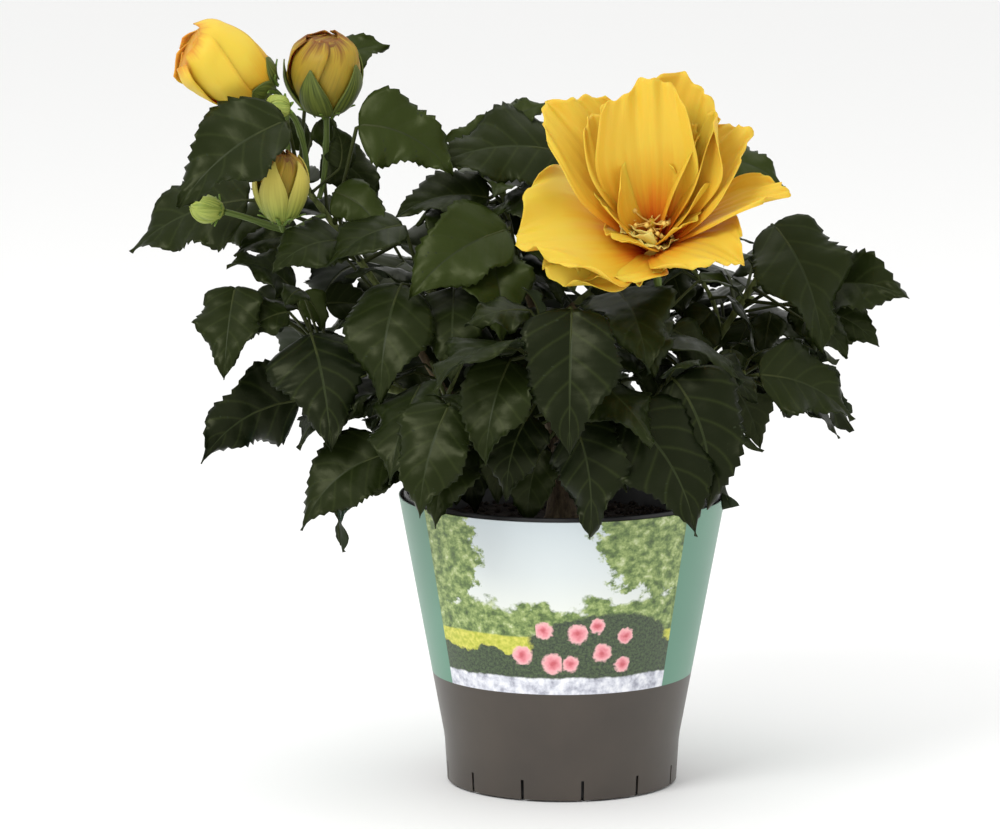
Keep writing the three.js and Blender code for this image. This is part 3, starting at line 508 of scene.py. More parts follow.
sleeveLook = {
    "sides": 240, "wall": 0.45, "footRadius": 47.7, "bend": 19, "bendWiden": 1.2,
    "slitHeight": 9, "slits": 12,
    "printFoot": 46.5, # height of the band's upper edge
    "flap": (140, 176), # the card's overlap, in degrees from the front
    "flapLift": 0.46,
    "pictureLeft": -57, "pictureRight": 49, # degrees from the front
    "green": [(0.3, colour(89, 135, 114)), (0.7, colour(95, 142, 120))],
    "taupe": [(0.3, colour(57, 50, 43)), (0.7, colour(66, 58, 50))],
}

gardenLook = {
    "sky": [(0.45, colour(226, 229, 222)), (0.7, colour(210, 217, 217)), (1, colour(198, 208, 212))],
    "trees": [(0.32, colour(58, 76, 40)), (0.45, colour(98, 122, 62)), (0.57, colour(150, 168, 100)),
              (0.7, colour(204, 212, 168))],
    "meadow": [(0.35, colour(168, 176, 48)), (0.65, colour(212, 208, 92))],
    "hedge": [(0.4, colour(34, 44, 36)), (0.65, colour(84, 104, 64))],
    "blossom": [(0.04, colour(196, 88, 98)), (0.18, colour(226, 138, 148)), (0.36, colour(242, 188, 188))],
    "stones": [(0.34, colour(150, 152, 166)), (0.48, colour(204, 206, 216)), (0.62, colour(236, 237, 241))],
    "bed": (1.0, 0.28, 0.5, 0.14), # its middle, half-width and half-height
}


def ovalFar(card, x, y, middleX, middleY, wide, high):
    # the square of how far a place is from an oval's middle, 1 at its edge
    dx = divided(card, minus(card, x, middleX), wide)
    dy = divided(card, minus(card, y, middleY), high)
    return plus(card, times(card, dx, dx), times(card, dy, dy))


def gardenPicture(card, across, height):
    # sky, trees, a meadow, hedges, blossoms and pale stones, each painted over the last
    flat = node(card, "CombineXYZ", {0: times(card, across, 1.45), 1: height}).outputs[0]
    look = gardenLook

    def clamped(value):
        return node(card, "Clamp", {0: value}).outputs[0]

    def below(level, waviness, scale, soft):
        # 1 under a level that a noise makes uneven
        line = plus(card, sway(card, noise(card, flat, scale, 5, 0.6), waviness), level)
        return clamped(divided(card, minus(card, line, height), soft))

    def spot(x, y, wide, high, waviness, scale):
        # 1 inside a rough oval
        far = reckon(card, "SQRT", ovalFar(card, across, height, x, y, wide, high))
        edge = plus(card, sway(card, noise(card, flat, scale, 5, 0.65), waviness), 1)
        return clamped(times(card, minus(card, edge, far), 14))

    picture = ramp(card, height, look["sky"])
    trees = ramp(card, noise(card, flat, 19, 5, 0.66), look["trees"])
    for share in (below(0.54, 0.42, 5, 0.03), spot(0.98, 0.88, 0.34, 0.36, 1.1, 9),
                  spot(0.0, 0.82, 0.24, 0.4, 1.2, 10)):
        picture = blendColours(card, share, picture, trees)
    meadow = ramp(card, noise(card, flat, 40, 4), look["meadow"])
    picture = blendColours(card, below(0.34, 0.05, 3, 0.01), picture, meadow)
    hedge = ramp(card, noise(card, flat, 60, 6, 0.8), look["hedge"])
    for share in (below(0.25, 0.2, 6, 0.012), spot(0.7, 0.27, 0.3, 0.2, 0.5, 8)):
        picture = blendColours(card, share, picture, hedge)
    # one blossom to each cell whose middle lies in the bed, so that none is cut through
    spread = {"Vector": flat, "Scale": 6.4, "Randomness": 0.8}
    cells = node(card, "TexVoronoi", spread, voronoi_dimensions="2D")
    middle = node(card, "SeparateXYZ", {0: cells.outputs["Position"]}).outputs
    inBed = reckon(card, "LESS_THAN", ovalFar(card, middle[0], middle[1], *look["bed"]), 1)
    size = node(card, "SeparateXYZ", {0: cells.outputs["Color"]}).outputs[0]
    size = plus(card, times(card, size, 0.55), 0.65)
    wobble = sway(card, noise(card, flat, 34, 3), 0.3)
    fromMiddle = divided(card, plus(card, cells.outputs["Distance"], wobble), size)
    edge = clamped(times(card, minus(card, 0.4, fromMiddle), 11))
    picture = blendColours(card, times(card, edge, inBed), picture, ramp(card, fromMiddle, look["blossom"]))
    stones = ramp(card, noise(card, flat, 16, 5, 0.6), look["stones"])
    return blendColours(card, below(0.1, 0.06, 4, 0.01), picture, stones)


def printedCard():
    # green card with the picture in front and a taupe band below, on angle and height round the pot
    card = surface("printedCard", Roughness=0.42, Coat_Weight=0.15, Coat_Roughness=0.25)
    place = node(card, "TexCoord", {}).outputs["Object"]
    parts = node(card, "SeparateXYZ", {0: place}).outputs
    degrees = times(card, reckon(card, "ARCTAN2", parts[0], times(card, parts[1], -1)), 180 / math.pi)
    top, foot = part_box("sleeve")[1][2], sleeveLook["printFoot"] * mm
    height = divided(card, minus(card, parts[2], foot), top - foot)
    left, right = sleeveLook["pictureLeft"], sleeveLook["pictureRight"]
    across = divided(card, minus(card, degrees, left), right - left)
    inside = times(card, reckon(card, "GREATER_THAN", across, 0), reckon(card, "LESS_THAN", across, 1))
    green = ramp(card, noise(card, place, 18, 2), sleeveLook["green"])
    printed = blendColours(card, inside, green, gardenPicture(card, across, height))
    taupe = ramp(card, noise(card, place, 40, 4), sleeveLook["taupe"])
    whole = blendColours(card, reckon(card, "LESS_THAN", height, 0), printed, taupe)
    return paint(card, whole, noise(card, place, 1400, 2), 0.05, 0.0001)


def sleeveRadiusAt(z, topRadius, top):
    # nearly upright up to the bend, and flared from there
    foot, bend, widen = sleeveLook["footRadius"], sleeveLook["bend"], sleeveLook["bendWiden"]
    flare = (topRadius - foot - widen) / (top - bend)
    return np.where(z < bend, foot + widen * z / bend, foot + widen + flare * (z - bend))


def makeSleeve():
    lowest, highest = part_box("sleeve")
    topRadius, top, lift = highest[0] / mm, highest[2] / mm, lowest[2] / mm
    bend, slitTop = sleeveLook["bend"], sleeveLook["slitHeight"]
    radiusAt = lambda z: float(sleeveRadiusAt(z, topRadius, top))
    heights = [lift, slitTop / 2, slitTop, bend - 1.5, bend + 1.5, 34, 60, 90, top]
    deselectAll()
    sides = sleeveLook["sides"]
    bpy.ops.mesh.primitive_circle_add(vertices=sides, radius=radiusAt(lift) * mm, location=(0, 0, lift * mm))
    sleeve = bpy.context.object
    sleeve.name = "cardSleeve"
    settle(sleeve)
    bpy.ops.object.mode_set(mode="EDIT")
    bpy.ops.mesh.select_all(action="SELECT")
    for low, high in zip(heights, heights[1:]):
        bpy.ops.mesh.extrude_edges_move(TRANSFORM_OT_translate={"value": (0, 0, (high - low) * mm)})
        scale = radiusAt(high) / radiusAt(low)
        bpy.ops.transform.resize(value=(scale, scale, 1), center_override=(0, 0, high * mm))
    fromFront = lambda middle: math.degrees(math.atan2(middle.x, -middle.y))
    spacing = 360 / sleeveLook["slits"]
    selectFaces(sleeve, lambda middle: middle.z < slitTop
                and (math.degrees(math.atan2(middle.y, middle.x)) - 9) % spacing < 360 / sides)
    bpy.ops.mesh.delete(type="FACE")
    flapStart, flapEnd = sleeveLook["flap"]
    selectFaces(sleeve, lambda middle: flapStart < fromFront(middle) < flapEnd)
    bpy.ops.mesh.duplicate()
    stand = 1 + sleeveLook["flapLift"] / sleeveLook["footRadius"]
    bpy.ops.transform.resize(value=(stand, stand, 1), center_override=(0, 0, 0))
    bpy.ops.mesh.select_all(action="SELECT")
    bpy.ops.mesh.normals_make_consistent(inside=False)
    bpy.ops.object.mode_set(mode="OBJECT")
    thick = sleeve.modifiers.new("wall", "SOLIDIFY")
    thick.thickness = sleeveLook["wall"] * mm
    thick.offset = -1
    thick.material_offset = 1
    thick.material_offset_rim = 0
    sleeve.data.materials.append(printedCard())
    bare = surface("bareCard", Roughness=0.8)
    grain = noise(bare, objectPlace(bare), 600, 3)
    paint(bare, ramp(bare, grain, [(0.3, colour(196, 194, 188)), (0.7, colour(212, 210, 205))]))
    sleeve.data.materials.append(bare)
    applyAll(sleeve)
    smoothByAngle(sleeve, 30)
    dress(sleeve, "sleeve_card", "sleeve")


# The growth rule. A leaf is told by its axil, the blade's foot, the chord's compass heading and pitch, and
# its curl, length, roll and fold. Everything here is in millimetres.

trunkTop = np.array([-3.0, 3, 133])
trunkKnuckle, boughKnuckle = 5.6, 3.2
seatGap = 0.3
soilTop = 109
trunkRadii = {"flare": 9.5, "foot": 6.2, "waist": 5.2, "neck": 4.6}
boughRadius = 2.7
stemRadii = (1.5, 1.1)
stalkRadius = 1.3
leafRule = {
    "aspect": 0.34, "petioleShare": 0.36, "petioleVary": (0.85, 1.25), "goldenTurn": 2.39996,
    "facing": (0, -0.75, 0.66), # where the upper side of a posed leaf looks
    "posedCurl": (0.6, 1.2), "posedFold": (0.05, 0.3), "curl": (0.6, 1.3), "fold": (-0.12, 0.34),
    "lift": (0.15, 0.95), "droop": (-1.05, -0.25), # from the stem's foot to its tip, in radians
    "room": 2.2, "petioleRoom": 2.2, "limbRoom": 1.8, "stray": 28,
    "tries": 16, "swing": 0.3, "shrink": 0.03, # each try turns a leaf further and makes it shorter
    "firstNode": 0.12, "lastNode": 0.965, "tipSize": 0.5, "sizeVary": (0.88, 1.08),
}
sideRule = {"places": (0.35, 0.7), "reach": (30, 46), "firstNode": 0.45, "leaves": 4, "size": 0.78}
potRoom = { # where no leaf may be: at the card and the pot's wall, and in the pot's mouth
    "cardTop": 120.5, "cardRadius": 67.8, "highest": 122, "lipFoot": 115.8, "cardGap": 1.25, "wallRoom": 2,
    "clear": 3,
}

boughs = {
    "left": {"out": (-0.8, -0.12, 0.6), "tip": (-48, -6, 163)},
    "right": {"out": (0.8, 0.08, 0.6), "tip": (45, 4, 158)},
    "front": {"out": (0.1, -0.8, 0.6), "tip": (6, -36, 150)},
    "middle": {"out": (-0.05, 0.05, 1), "tip": (-8, 8, 188)},
    "back": {"out": (-0.08, 0.8, 0.6), "tip": (-4, 44, 160)},
}

# A leafy shoot: its bough, its way off and its tip; how many leaves and side twigs the rule grows, their
# size, first turn and lowest height; "young" counts the small leaves at its tip, "finer" the twiglets with
# small leaves that only show here. A posed leaf is where along the stem it leaves, the blade's foot and tip,
# and its turn.
shoots = {
    "left_top": {
        "bough": "left", "out": (-0.5, 0.15, 0.85), "tip": (-111, -4, 256),
        "leaves": 7, "sides": 0, "size": 60, "turn": 0.6, "low": 190, "young": 3, "finer": 1,
        "posed": [
            [0.96, (-112, -43, 282), (-156, -55, 247), 0.1],
            [0.72, (-122, -24, 245), (-190, -34, 213), 0.1],
            [0.76, (-84, -27, 278), (-45, -31, 257), 0.3],
            [1, (-106, 14, 286), (-71, 22, 305), 0],
            [0.8, (-98, 8, 262), (-75, 0, 240), 0],
            [0.9, (-98, 12, 262), (-110, 14, 286), 0],
            [0.7, (-94, -24, 250), (-74, -34, 232), 0],
            [0.6, (-98, -30, 231), (-139, -42, 219), 0.1],
        ],
    },
    "left_mid": {
        "bough": "left", "out": (-0.93, -0.35, 0), "tip": (-104, -20, 190),
        "leaves": 5, "sides": 0, "size": 62, "turn": 2.1, "low": 146, "young": 4, "finer": 1,
        "posed": [
            [0.97, (-134, -30, 212), (-138, -50, 176), 0.2],
            [1, (-112, -34, 202), (-132, -42, 190), 0],
            [0.93, (-103, -40, 194), (-94, -72, 150), 0],
            [0.8, (-108, -14, 162), (-149, -24, 137), -1],
            [0.9, (-98, 2, 200), (-72, 8, 194), 0],
        ],
    },
    "left_low": {
        "bough": "left", "out": (0.1, -0.95, 0.1), "tip": (-58, -58, 160),
        "leaves": 6, "sides": 0, "size": 64, "turn": 0.9, "low": 112, "young": 4, "finer": 2,
        "posed": [
            [1, (-70, -60, 148), (-106, -68, 117), 0.1],
            [0.75, (-82, -38, 150), (-90, -46, 104), -1.4],
            [0.9, (-46, -84, 172), (-58, -100, 128), 0.1],
            [0.5, (-42, -58, 152), (-52, -80, 120), 0],
        ],
    },
    "front_low": {
        "bough": "front", "out": (-0.45, -0.6, 0.66), "tip": (-8, -66, 202),
        "leaves": 8, "sides": 1, "size": 66, "turn": 1.7, "low": 114, "young": 4, "finer": 3,
        "posed": [
            [1, (3, -88, 212), (2, -104, 154), 0],
            [0.45, (4, -78, 164), (10, -90, 118), 0.6],
            [0.8, (-24, -82, 190), (-36, -98, 148), 0.1],
            [0.6, (-9, -72, 166), (-16, -86, 124), 0],
            [0.3, (-26, -62, 154), (-35, -84, 122), 0],
        ],
    },
    "front_right": {
        "bough": "front", "out": (0.75, -0.66, 0.05), "tip": (40, -62, 172),
        "leaves": 7, "sides": 1, "size": 66, "turn": 4.4, "low": 114, "young": 4, "finer": 3,
        "posed": [
            [0.7, (24, -80, 168), (53, -92, 119), 0],
            [1, (43, -72, 181), (56, -82, 126), 0.2],
            [0.95, (58, -48, 182), (79, -58, 168), 0],
        ],
    },
    "flower": {
        "bough": "front", "out": (0.2, 0.3, 0.93), "tip": (36, -36, 196),
        "leaves": 6, "sides": 0, "size": 62, "turn": 3.3, "low": 150, "young": 0, "finer": 2,
        "posed": [
            [0.8, (22, -44, 212), (34, -80, 183), 0],
            [0.9, (56, -44, 214), (82, -60, 200), -0.6],
        ],
    },
    "right_top": {
        "bough": "right", "out": (0.6, 0.1, 0.78), "tip": (82, 6, 212),
        "leaves": 7, "sides": 1, "size": 64, "turn": 5.2, "low": 170, "young": 4, "finer": 2,
        "posed": [
            [0.97, (86, -16, 236), (106, -38, 185), 0],
            [0.95, (98, -6, 204), (142, -26, 206), 0.1],
            [0.8, (98, -20, 200), (124, -36, 182), 0],
        ],
    },
    "right_low": {
        "bough": "right", "out": (0.75, -0.6, 0.2), "tip": (74, -28, 176),
        "leaves": 7, "sides": 0, "size": 64, "turn": 0.2, "low": 146, "young": 4, "finer": 2,
        "posed": [
            [0.85, (66, -48, 178), (122, -60, 149), 0.1],
        ],
    },
    "right_back": {
        "bough": "right", "out": (0.35, 0.9, 0.2), "tip": (72, 56, 186),
        "leaves": 10, "sides": 1, "size": 68, "turn": 3.6, "low": 142, "young": 4, "finer": 3,
        "posed": [],
    },
    "middle_top": {
        "bough": "middle", "out": (-0.4, -0.1, 0.9), "tip": (-26, 6, 254),
        "leaves": 8, "sides": 1, "size": 64, "turn": 2.9, "low": 180, "young": 4, "finer": 2,
        "posed": [
            [0.98, (0, -6, 264), (-54, -22, 260), -0.1],
            [0.9, (-30, -14, 246), (-70, -22, 238), 0.1],
            [0.7, (-22, -34, 236), (-63, -52, 209), 0],
        ],
    },
    "middle_right": {
        "bough": "middle", "out": (0.75, 0.3, 0.5), "tip": (40, 34, 230),
        "leaves": 8, "sides": 1, "size": 64, "turn": 4.9, "low": 180, "young": 4, "finer": 2,
        "posed": [
            [0.97, (52, 16, 257), (92, 10, 247), 0],
        ],
    },
    "middle_left": {
        "bough": "middle", "out": (-0.9, -0.35, 0.1), "tip": (-60, -26, 214),
        "leaves": 8, "sides": 1, "size": 66, "turn": 1.1, "low": 150, "young": 4, "finer": 3,
        "posed": [
            [0.95, (-68, -32, 238), (-110, -42, 220), 0.2],
            [0.9, (-66, -38, 214), (-74, -62, 168), 0],
            [0.75, (-42, -42, 226), (-48, -66, 178), 0],
            [0.85, (-46, -22, 240), (-76, -30, 224), 0],
        ],
    },
    "back_left": {
        "bough": "back", "out": (-0.8, 0.35, 0.45), "tip": (-66, 74, 204),
        "leaves": 10, "sides": 1, "size": 68, "turn": 1.2, "low": 130, "young": 4, "finer": 3,
        "posed": [],
    },
    "back_right": {
        "bough": "back", "out": (0.5, 0.2, 0.84), "tip": (26, 88, 220),
        "leaves": 10, "sides": 1, "size": 66, "turn": 5.8, "low": 142, "young": 4, "finer": 3,
        "posed": [],
    },
    "back_low": {
        "bough": "back", "out": (0.15, 0.98, -0.05), "tip": (-14, 104, 152),
        "leaves": 9, "sides": 1, "size": 68, "turn": 2.5, "low": 118, "young": 4, "finer": 3,
        "posed": [],
    },
}

# Each petal: its turn round the axis in degrees, length, half-width, lean from the axis at foot and at edge
# in degrees, roll and cup
flower = {
    "foot": np.array([37.0, -50, 228]), "axis": unit((-0.08, -0.64, 0.76)),
    "petals": [
        [93, 84, 22, 2, 37, 0, 0.6],
        [64, 80, 27, 14, 50, 0, 0.3],
        [142, 79, 24, 26, 60, 0.15, 0.45],
        [37, 68, 22, 26, 66, -0.1, 0.35],
        [7, 67, 15, 38, 80, -0.3, 0.2],
        [199, 68, 39, 34, 88, 0.1, 0.1],
        [233, 50, 25, 36, 86, 0, 0.15],
        [321, 58, 22, 34, 83, -0.1, 0.2],
        [112, 50, 15, 2, 34, 0.1, 0.7],
        [42, 64, 10, 8, 46, -0.4, 0.6],
        [212, 27, 10, 6, 56, 0, 0.5],
    ],
    "petaloids": [
        [266, 37, 17, 34, 84, 0, 0.15],
        [128, 40, 14, 24, 58, 0.2, 0.2],
        [66, 46, 13, 14, 50, -0.2, 0.3],
        [26, 50, 13, 18, 58, -0.3, 0.25],
        [164, 44, 14, 16, 56, 0.3, 0.25],
        [216, 34, 14, 16, 66, 0.2, 0.2],
        [240, 24, 11, 10, 56, -0.2, 0.4],
        [190, 26, 11, 6, 46, 0.3, 0.3],
        [350, 36, 12, 16, 58, -0.3, 0.2],
        [290, 24, 11, 12, 60, -0.2, 0.2],
        [213, 59, 25, 40, 92, 0, 0.05],
        [128, 70, 18, 18, 50, 0.2, 0.35],
        [50, 74, 16, 14, 52, -0.3, 0.25],
    ],
}

# Each bud: where along the stem its stalk leaves, its foot, axis, length and radius, how far its sepals reach
# along it, and whether petals show
buds = {
    "bud_opening": [1, (-119, -12, 291), (-0.86, -0.2, 0.44), 41, 16.5, 0.24, True],
    "bud_upright": [0.86, (-97, -8, 280), (-0.03, -0.2, 0.98), 34.5, 17, 0.7, True],
    "bud_striped": [0.8, (-115, -34, 239), (0.02, -0.12, 1), 30, 11.6, 0.9, True],
    "bud_green_low": [0.66, (-139, -24, 242), (-0.93, -0.3, 0.2), 14, 5.8, 1, False],
    "bud_green_high": [0.93, (-113, -26, 284), (-0.6, -0.75, 0.3), 11, 5.2, 1, False],
}


def chance(a, b, c):
    # steady numbers from 0 to 1, one for each three whole numbers
    word = 0xFFFFFFFF
    h = ((a + 1) * 374761393 + (b + 1) * 668265263 + (c + 1) * 1274126177) & word
    h = ((h ^ (h >> 13)) * 1103515245) & word
    h = ((h ^ (h >> 16)) * 2246822519) & word
    return (h ^ (h >> 15)) / 4294967296


def mix(first, second, share):
    return first + (second - first) * share


def sideways(way):
    return np.array([1.0, 0, 0]) if abs(way[2]) > 0.95 else np.array([0, 0, 1.0])


def wayOf(heading, pitch):
    pitch = np.asarray(pitch, float)
    level = np.cos(pitch)
    return np.stack([math.cos(heading) * level, math.sin(heading) * level, np.sin(pitch)], axis=-1)


def bentPath(start, out, end, steps):
    # sets off along "out" and bends to the end
    start, end = np.asarray(start, float), np.asarray(end, float)
    bend = start + np.asarray(out) * np.linalg.norm(end - start) * 0.45
    t = np.linspace(0, 1, steps + 1)[:, None]
    return (1 - t) ** 2 * start + 2 * t * (1 - t) * bend + t * t * end


def boughPath(bough):
    way = unit(bough["out"])
    return bentPath(trunkTop + way * (trunkKnuckle + seatGap), way, bough["tip"], 5)


def stemPath(shoot):
    way = unit(shoot["out"])
    start = np.array(boughs[shoot["bough"]]["tip"]) + way * (boughKnuckle + seatGap)
    return bentPath(start, way, shoot["tip"], 7)


def pointOn(path, t):
    place = t * (len(path) - 1)
    i = min(int(place), len(path) - 2)
    return mix(path[i], path[i + 1], place - i)


def headingOn(path, t):
    i = min(int(t * (len(path) - 1)), len(path) - 2)
    return unit(path[i + 1] - path[i])


stems = {name: stemPath(shoot) for name, shoot in shoots.items()}


def bladeFrames(leaf, ts):
    # place, side and upper normal at each t from the blade's foot to its tip
    steps = 8
    ts = np.asarray(ts, float)
    mids = ts[:, None] * (np.arange(steps) + 0.5) / steps
    ways = wayOf(leaf["heading"], leaf["pitch"] + leaf["curl"] * (0.5 - mids))
    places = leaf["foot"] + ways.sum(axis=1) * (leaf["length"] * ts / steps)[:, None]
    along = wayOf(leaf["heading"], leaf["pitch"] + leaf["curl"] * (0.5 - ts))
    level = np.array([-math.sin(leaf["heading"]), math.cos(leaf["heading"]), 0])
    side = level * math.cos(leaf["roll"]) + np.cross(along, level) * math.sin(leaf["roll"])
    return places, side, np.cross(along, side)


def bladeWidth(leaf, t):
    # half the blade's width: a round foot and a long drawn-out tip, 3.083 makes its widest place 1
    return leaf["length"] * leafRule["aspect"] * 3.083 * t ** 0.55 * (1 - t) ** 1.3


def bladePoints(leaf, ts, us):
    places, side, normal = bladeFrames(leaf, ts)
    reach = bladeWidth(leaf, np.asarray(ts, float))[:, None] * np.asarray(us, float)
    flat = side[:, None] * (reach * math.cos(leaf["fold"]))[..., None]
    return places[:, None] + flat + normal[:, None] * (np.abs(reach) * math.sin(leaf["fold"]))[..., None]


# What stands in the way of a new leaf: triangles, and lines that mustn't cross another's triangles

things = []


def makeThing(owner, triangles, lines, stalk=None, limb=False):
    triangles = np.asarray(triangles, float).reshape(-1, 3, 3)
    lines = np.asarray(lines, float).reshape(-1, 2, 3)
    stalk = np.zeros((0, 2, 3)) if stalk is None else np.asarray(stalk, float).reshape(-1, 2, 3)
    every = np.concatenate([triangles.reshape(-1, 3), lines.reshape(-1, 3), stalk.reshape(-1, 3)])
    return {"owner": owner, "triangles": triangles, "lines": lines, "stalk": stalk, "limb": limb,
            "low": every.min(axis=0), "high": every.max(axis=0)}


def anyCross(lines, triangles):
    if not len(lines) or not len(triangles):
        return False
    start = lines[:, None, 0]
    way = lines[:, None, 1] - start
    corner = triangles[None, :, 0]
    ab = triangles[None, :, 1] - corner
    ac = triangles[None, :, 2] - corner
    h = np.cross(way, ac)
    det = (ab * h).sum(axis=-1)
    safe = np.where(np.abs(det) < 1e-12, 1, det)
    s = start - corner
    u = (s * h).sum(axis=-1) / safe
    k = np.cross(s, ab)
    v = (way * k).sum(axis=-1) / safe
    t = (ac * k).sum(axis=-1) / safe
    hit = (np.abs(det) >= 1e-12) & (u >= 0) & (u <= 1) & (v >= 0) & (u + v <= 1) & (t >= 0) & (t <= 1)
    return bool(hit.any())


def meetsAny(one):
    near = [other for other in things
            if (other["low"] <= one["high"]).all() and (other["high"] >= one["low"]).all()]
    if not near:
        return False
    if anyCross(one["lines"], np.concatenate([other["triangles"] for other in near])):
        return True
    strange = [other["triangles"] for other in near if not (other["limb"] and other["owner"] == one["owner"])]
    if strange and anyCross(one["stalk"], np.concatenate(strange)):
        return True
    lines = [other["lines"] for other in near]
    lines += [other["stalk"] for other in near if not (one["limb"] and other["owner"] == one["owner"])]
    return anyCross(np.concatenate(lines), one["triangles"])


def sheetThing(grid, room, owner, stalk=None, strips=()):
    grid = np.asarray(grid, float)
    a, b, c, d = grid[:-1, :-1], grid[:-1, 1:], grid[1:, 1:], grid[1:, :-1]
    normal = unit(np.cross(c - a, d - b)) * room
    triangles = [np.stack([a, b, c], axis=-2), np.stack([a, c, d], axis=-2)]
    pairs = [(a + normal, a - normal), (c + normal, c - normal), (a, b), (b, c), (c, d), (d, a)]
    lines = np.concatenate([np.stack(pair, axis=-2).reshape(-1, 2, 3) for pair in pairs])
    every = np.concatenate([t.reshape(-1, 3, 3) for t in triangles] + [np.reshape(strips, (-1, 3, 3))])
    return makeThing(owner, every, lines, stalk)


def leafThing(leaf, owner):
    grid = bladePoints(leaf, [0.04, 0.25, 0.5, 0.75, 1], [-1, 0, 1])
    along = unit(leaf["foot"] - leaf["axil"])
    start = leaf["axil"] + along * stemRadii[0]
    aside = unit(np.cross(along, sideways(along))) * leafRule["petioleRoom"]
    strips = []
    for way in (aside, np.cross(along, aside)):
        a, b, c, d = start - way, start + way, leaf["foot"] + way, leaf["foot"] - way
        strips += [[a, b, c], [a, c, d]]
    return sheetThing(grid, leafRule["room"], owner, [start, leaf["foot"]], strips)


def limbThing(path, radius, owner):
    # a limb as a four-sided tube somewhat wider than itself
    path = np.asarray(path, float)
    rings = ringsAlong(path, [radius + leafRule["limbRoom"]] * len(path), 4)
    after = np.roll(rings, -1, axis=1)
    halves = ((rings[:-1], rings[1:], after[1:]), (rings[:-1], after[1:], after[:-1]))
    triangles = np.concatenate([np.stack(half, axis=-2).reshape(-1, 3, 3) for half in halves])
    return makeThing(owner, triangles, np.stack([path[:-1], path[1:]], axis=1), limb=True)


def meetsPot(points):
    clear = potRoom["clear"]
    cardAt = lambda z: sleeveRadiusAt(z, potRoom["cardRadius"], potRoom["cardTop"])
    away, z = np.hypot(points[:, 0], points[:, 1]), points[:, 2]
    near = (z <= potRoom["highest"] + clear) & (away <= cardAt(np.maximum(z, 0)) + clear)
    wallInside = cardAt(potRoom["lipFoot"]) - potRoom["cardGap"] - potLook["wall"]
    return bool((near & ((away > wallInside - clear - potRoom["wallRoom"]) | (z < soilTop + clear))).any())


def keepsToItsSpace(point, owner):
    near = {name: np.linalg.norm(path - point, axis=1).min() for name, path in stems.items()}
    return all(near[name] > near[owner] - leafRule["stray"] for name in stems if name != owner)


def fits(leaf, thing, owner, posed):
    points = bladePoints(leaf, [0.25, 0.5, 0.75, 1], [-1, 0, 1]).reshape(-1, 3)
    if meetsPot(points):
        return False
    if not posed and (points[:, 2] < shoots[owner]["low"]).any():
        return False
    if not posed and not keepsToItsSpace(bladePoints(leaf, [0.6], [0])[0, 0], owner):
        return False
    return not meetsAny(thing)


def posedLeaf(axil, foot, tip, turn, seed):
    # from a given foot to a given tip, its upper side turned as far as it goes to where such leaves look
    chord = tip - foot
    span = np.linalg.norm(chord)
    curl = mix(*leafRule["posedCurl"], seed(4))
    heading = math.atan2(chord[1], chord[0])
    pitch = math.asin(chord[2] / span)
    level = np.array([-math.sin(heading), math.cos(heading), 0])
    over = np.cross(wayOf(heading, pitch), level)
    looks = np.array(leafRule["facing"])
    return {
        "axil": axil, "foot": foot, "heading": heading, "pitch": pitch, "curl": curl,
        "length": span * curl / (2 * math.sin(curl / 2)),
        "roll": math.atan2(-level.dot(looks), over.dot(looks)) + turn,
        "fold": mix(*leafRule["posedFold"], seed(6)),
    }


def ruledLeaf(axil, along, angle, rise, length, seed, attempt=0):
    # heading turns round the stem and leans away from the plant's middle, and a lower leaf droops more
    across = unit(np.cross(along, sideways(along)))
    over = np.cross(across, along)
    way = across * math.cos(angle) + over * math.sin(angle)
    outward = np.array([axil[0], axil[1], 0]) / (25 + math.hypot(axil[0], axil[1]))
    way[2] = 0
    way = way + outward * 0.75
    heading = math.atan2(way[1], way[0])
    lift = mix(*leafRule["lift"], rise) + 0.3 * (seed(1) - 0.5)
    petiole = length * leafRule["petioleShare"] * mix(*leafRule["petioleVary"], seed(2))
    return {
        "axil": axil, "foot": axil + wayOf(heading, lift) * petiole, "length": length, "heading": heading,
        "pitch": mix(*leafRule["droop"], rise) + 0.6 * (seed(3) - 0.5) + 0.2 * (attempt % 3),
        "curl": mix(*leafRule["curl"], seed(4)), "roll": 0.9 * (seed(5) - 0.5),
        "fold": mix(*leafRule["fold"], seed(6)),
    }


def placeLeaf(make, owner, posed, leaves):
    # a few headings, rises and sizes are tried before a leaf is skipped
    for attempt in range(leafRule["tries"]):
        swing = math.ceil(attempt / 2) * leafRule["swing"] * (1 if attempt % 2 else -1)
        leaf = make(swing, 1 - leafRule["shrink"] * attempt, attempt)
        thing = leafThing(leaf, owner)
        if fits(leaf, thing, owner, posed):
            things.append(thing)
            leaves.append(leaf)
            return


def turnedAboutUp(way, angle):
    c, s = math.cos(angle), math.sin(angle)
    return np.array([way[0] * c - way[1] * s, way[0] * s + way[1] * c, way[2]])


def poseLeaves(name, number, leaves, posed, firstSeed):
    # each is swung a little about its axil or shortened where it would meet another
    for row, (at, foot, tip, turn) in enumerate(posed):
        axil = pointOn(stems[name], min(at, leafRule["lastNode"]))
        seed = lambda k: chance(number, firstSeed + row, k)

        def make(swing, scale, _):
            start, end = (turnedAboutUp(np.array(p) - axil, swing * 0.35) + axil for p in (foot, tip))
            return posedLeaf(axil, start, mix(end, start, 1 - scale), turn, seed)
        placeLeaf(make, name, True, leaves)


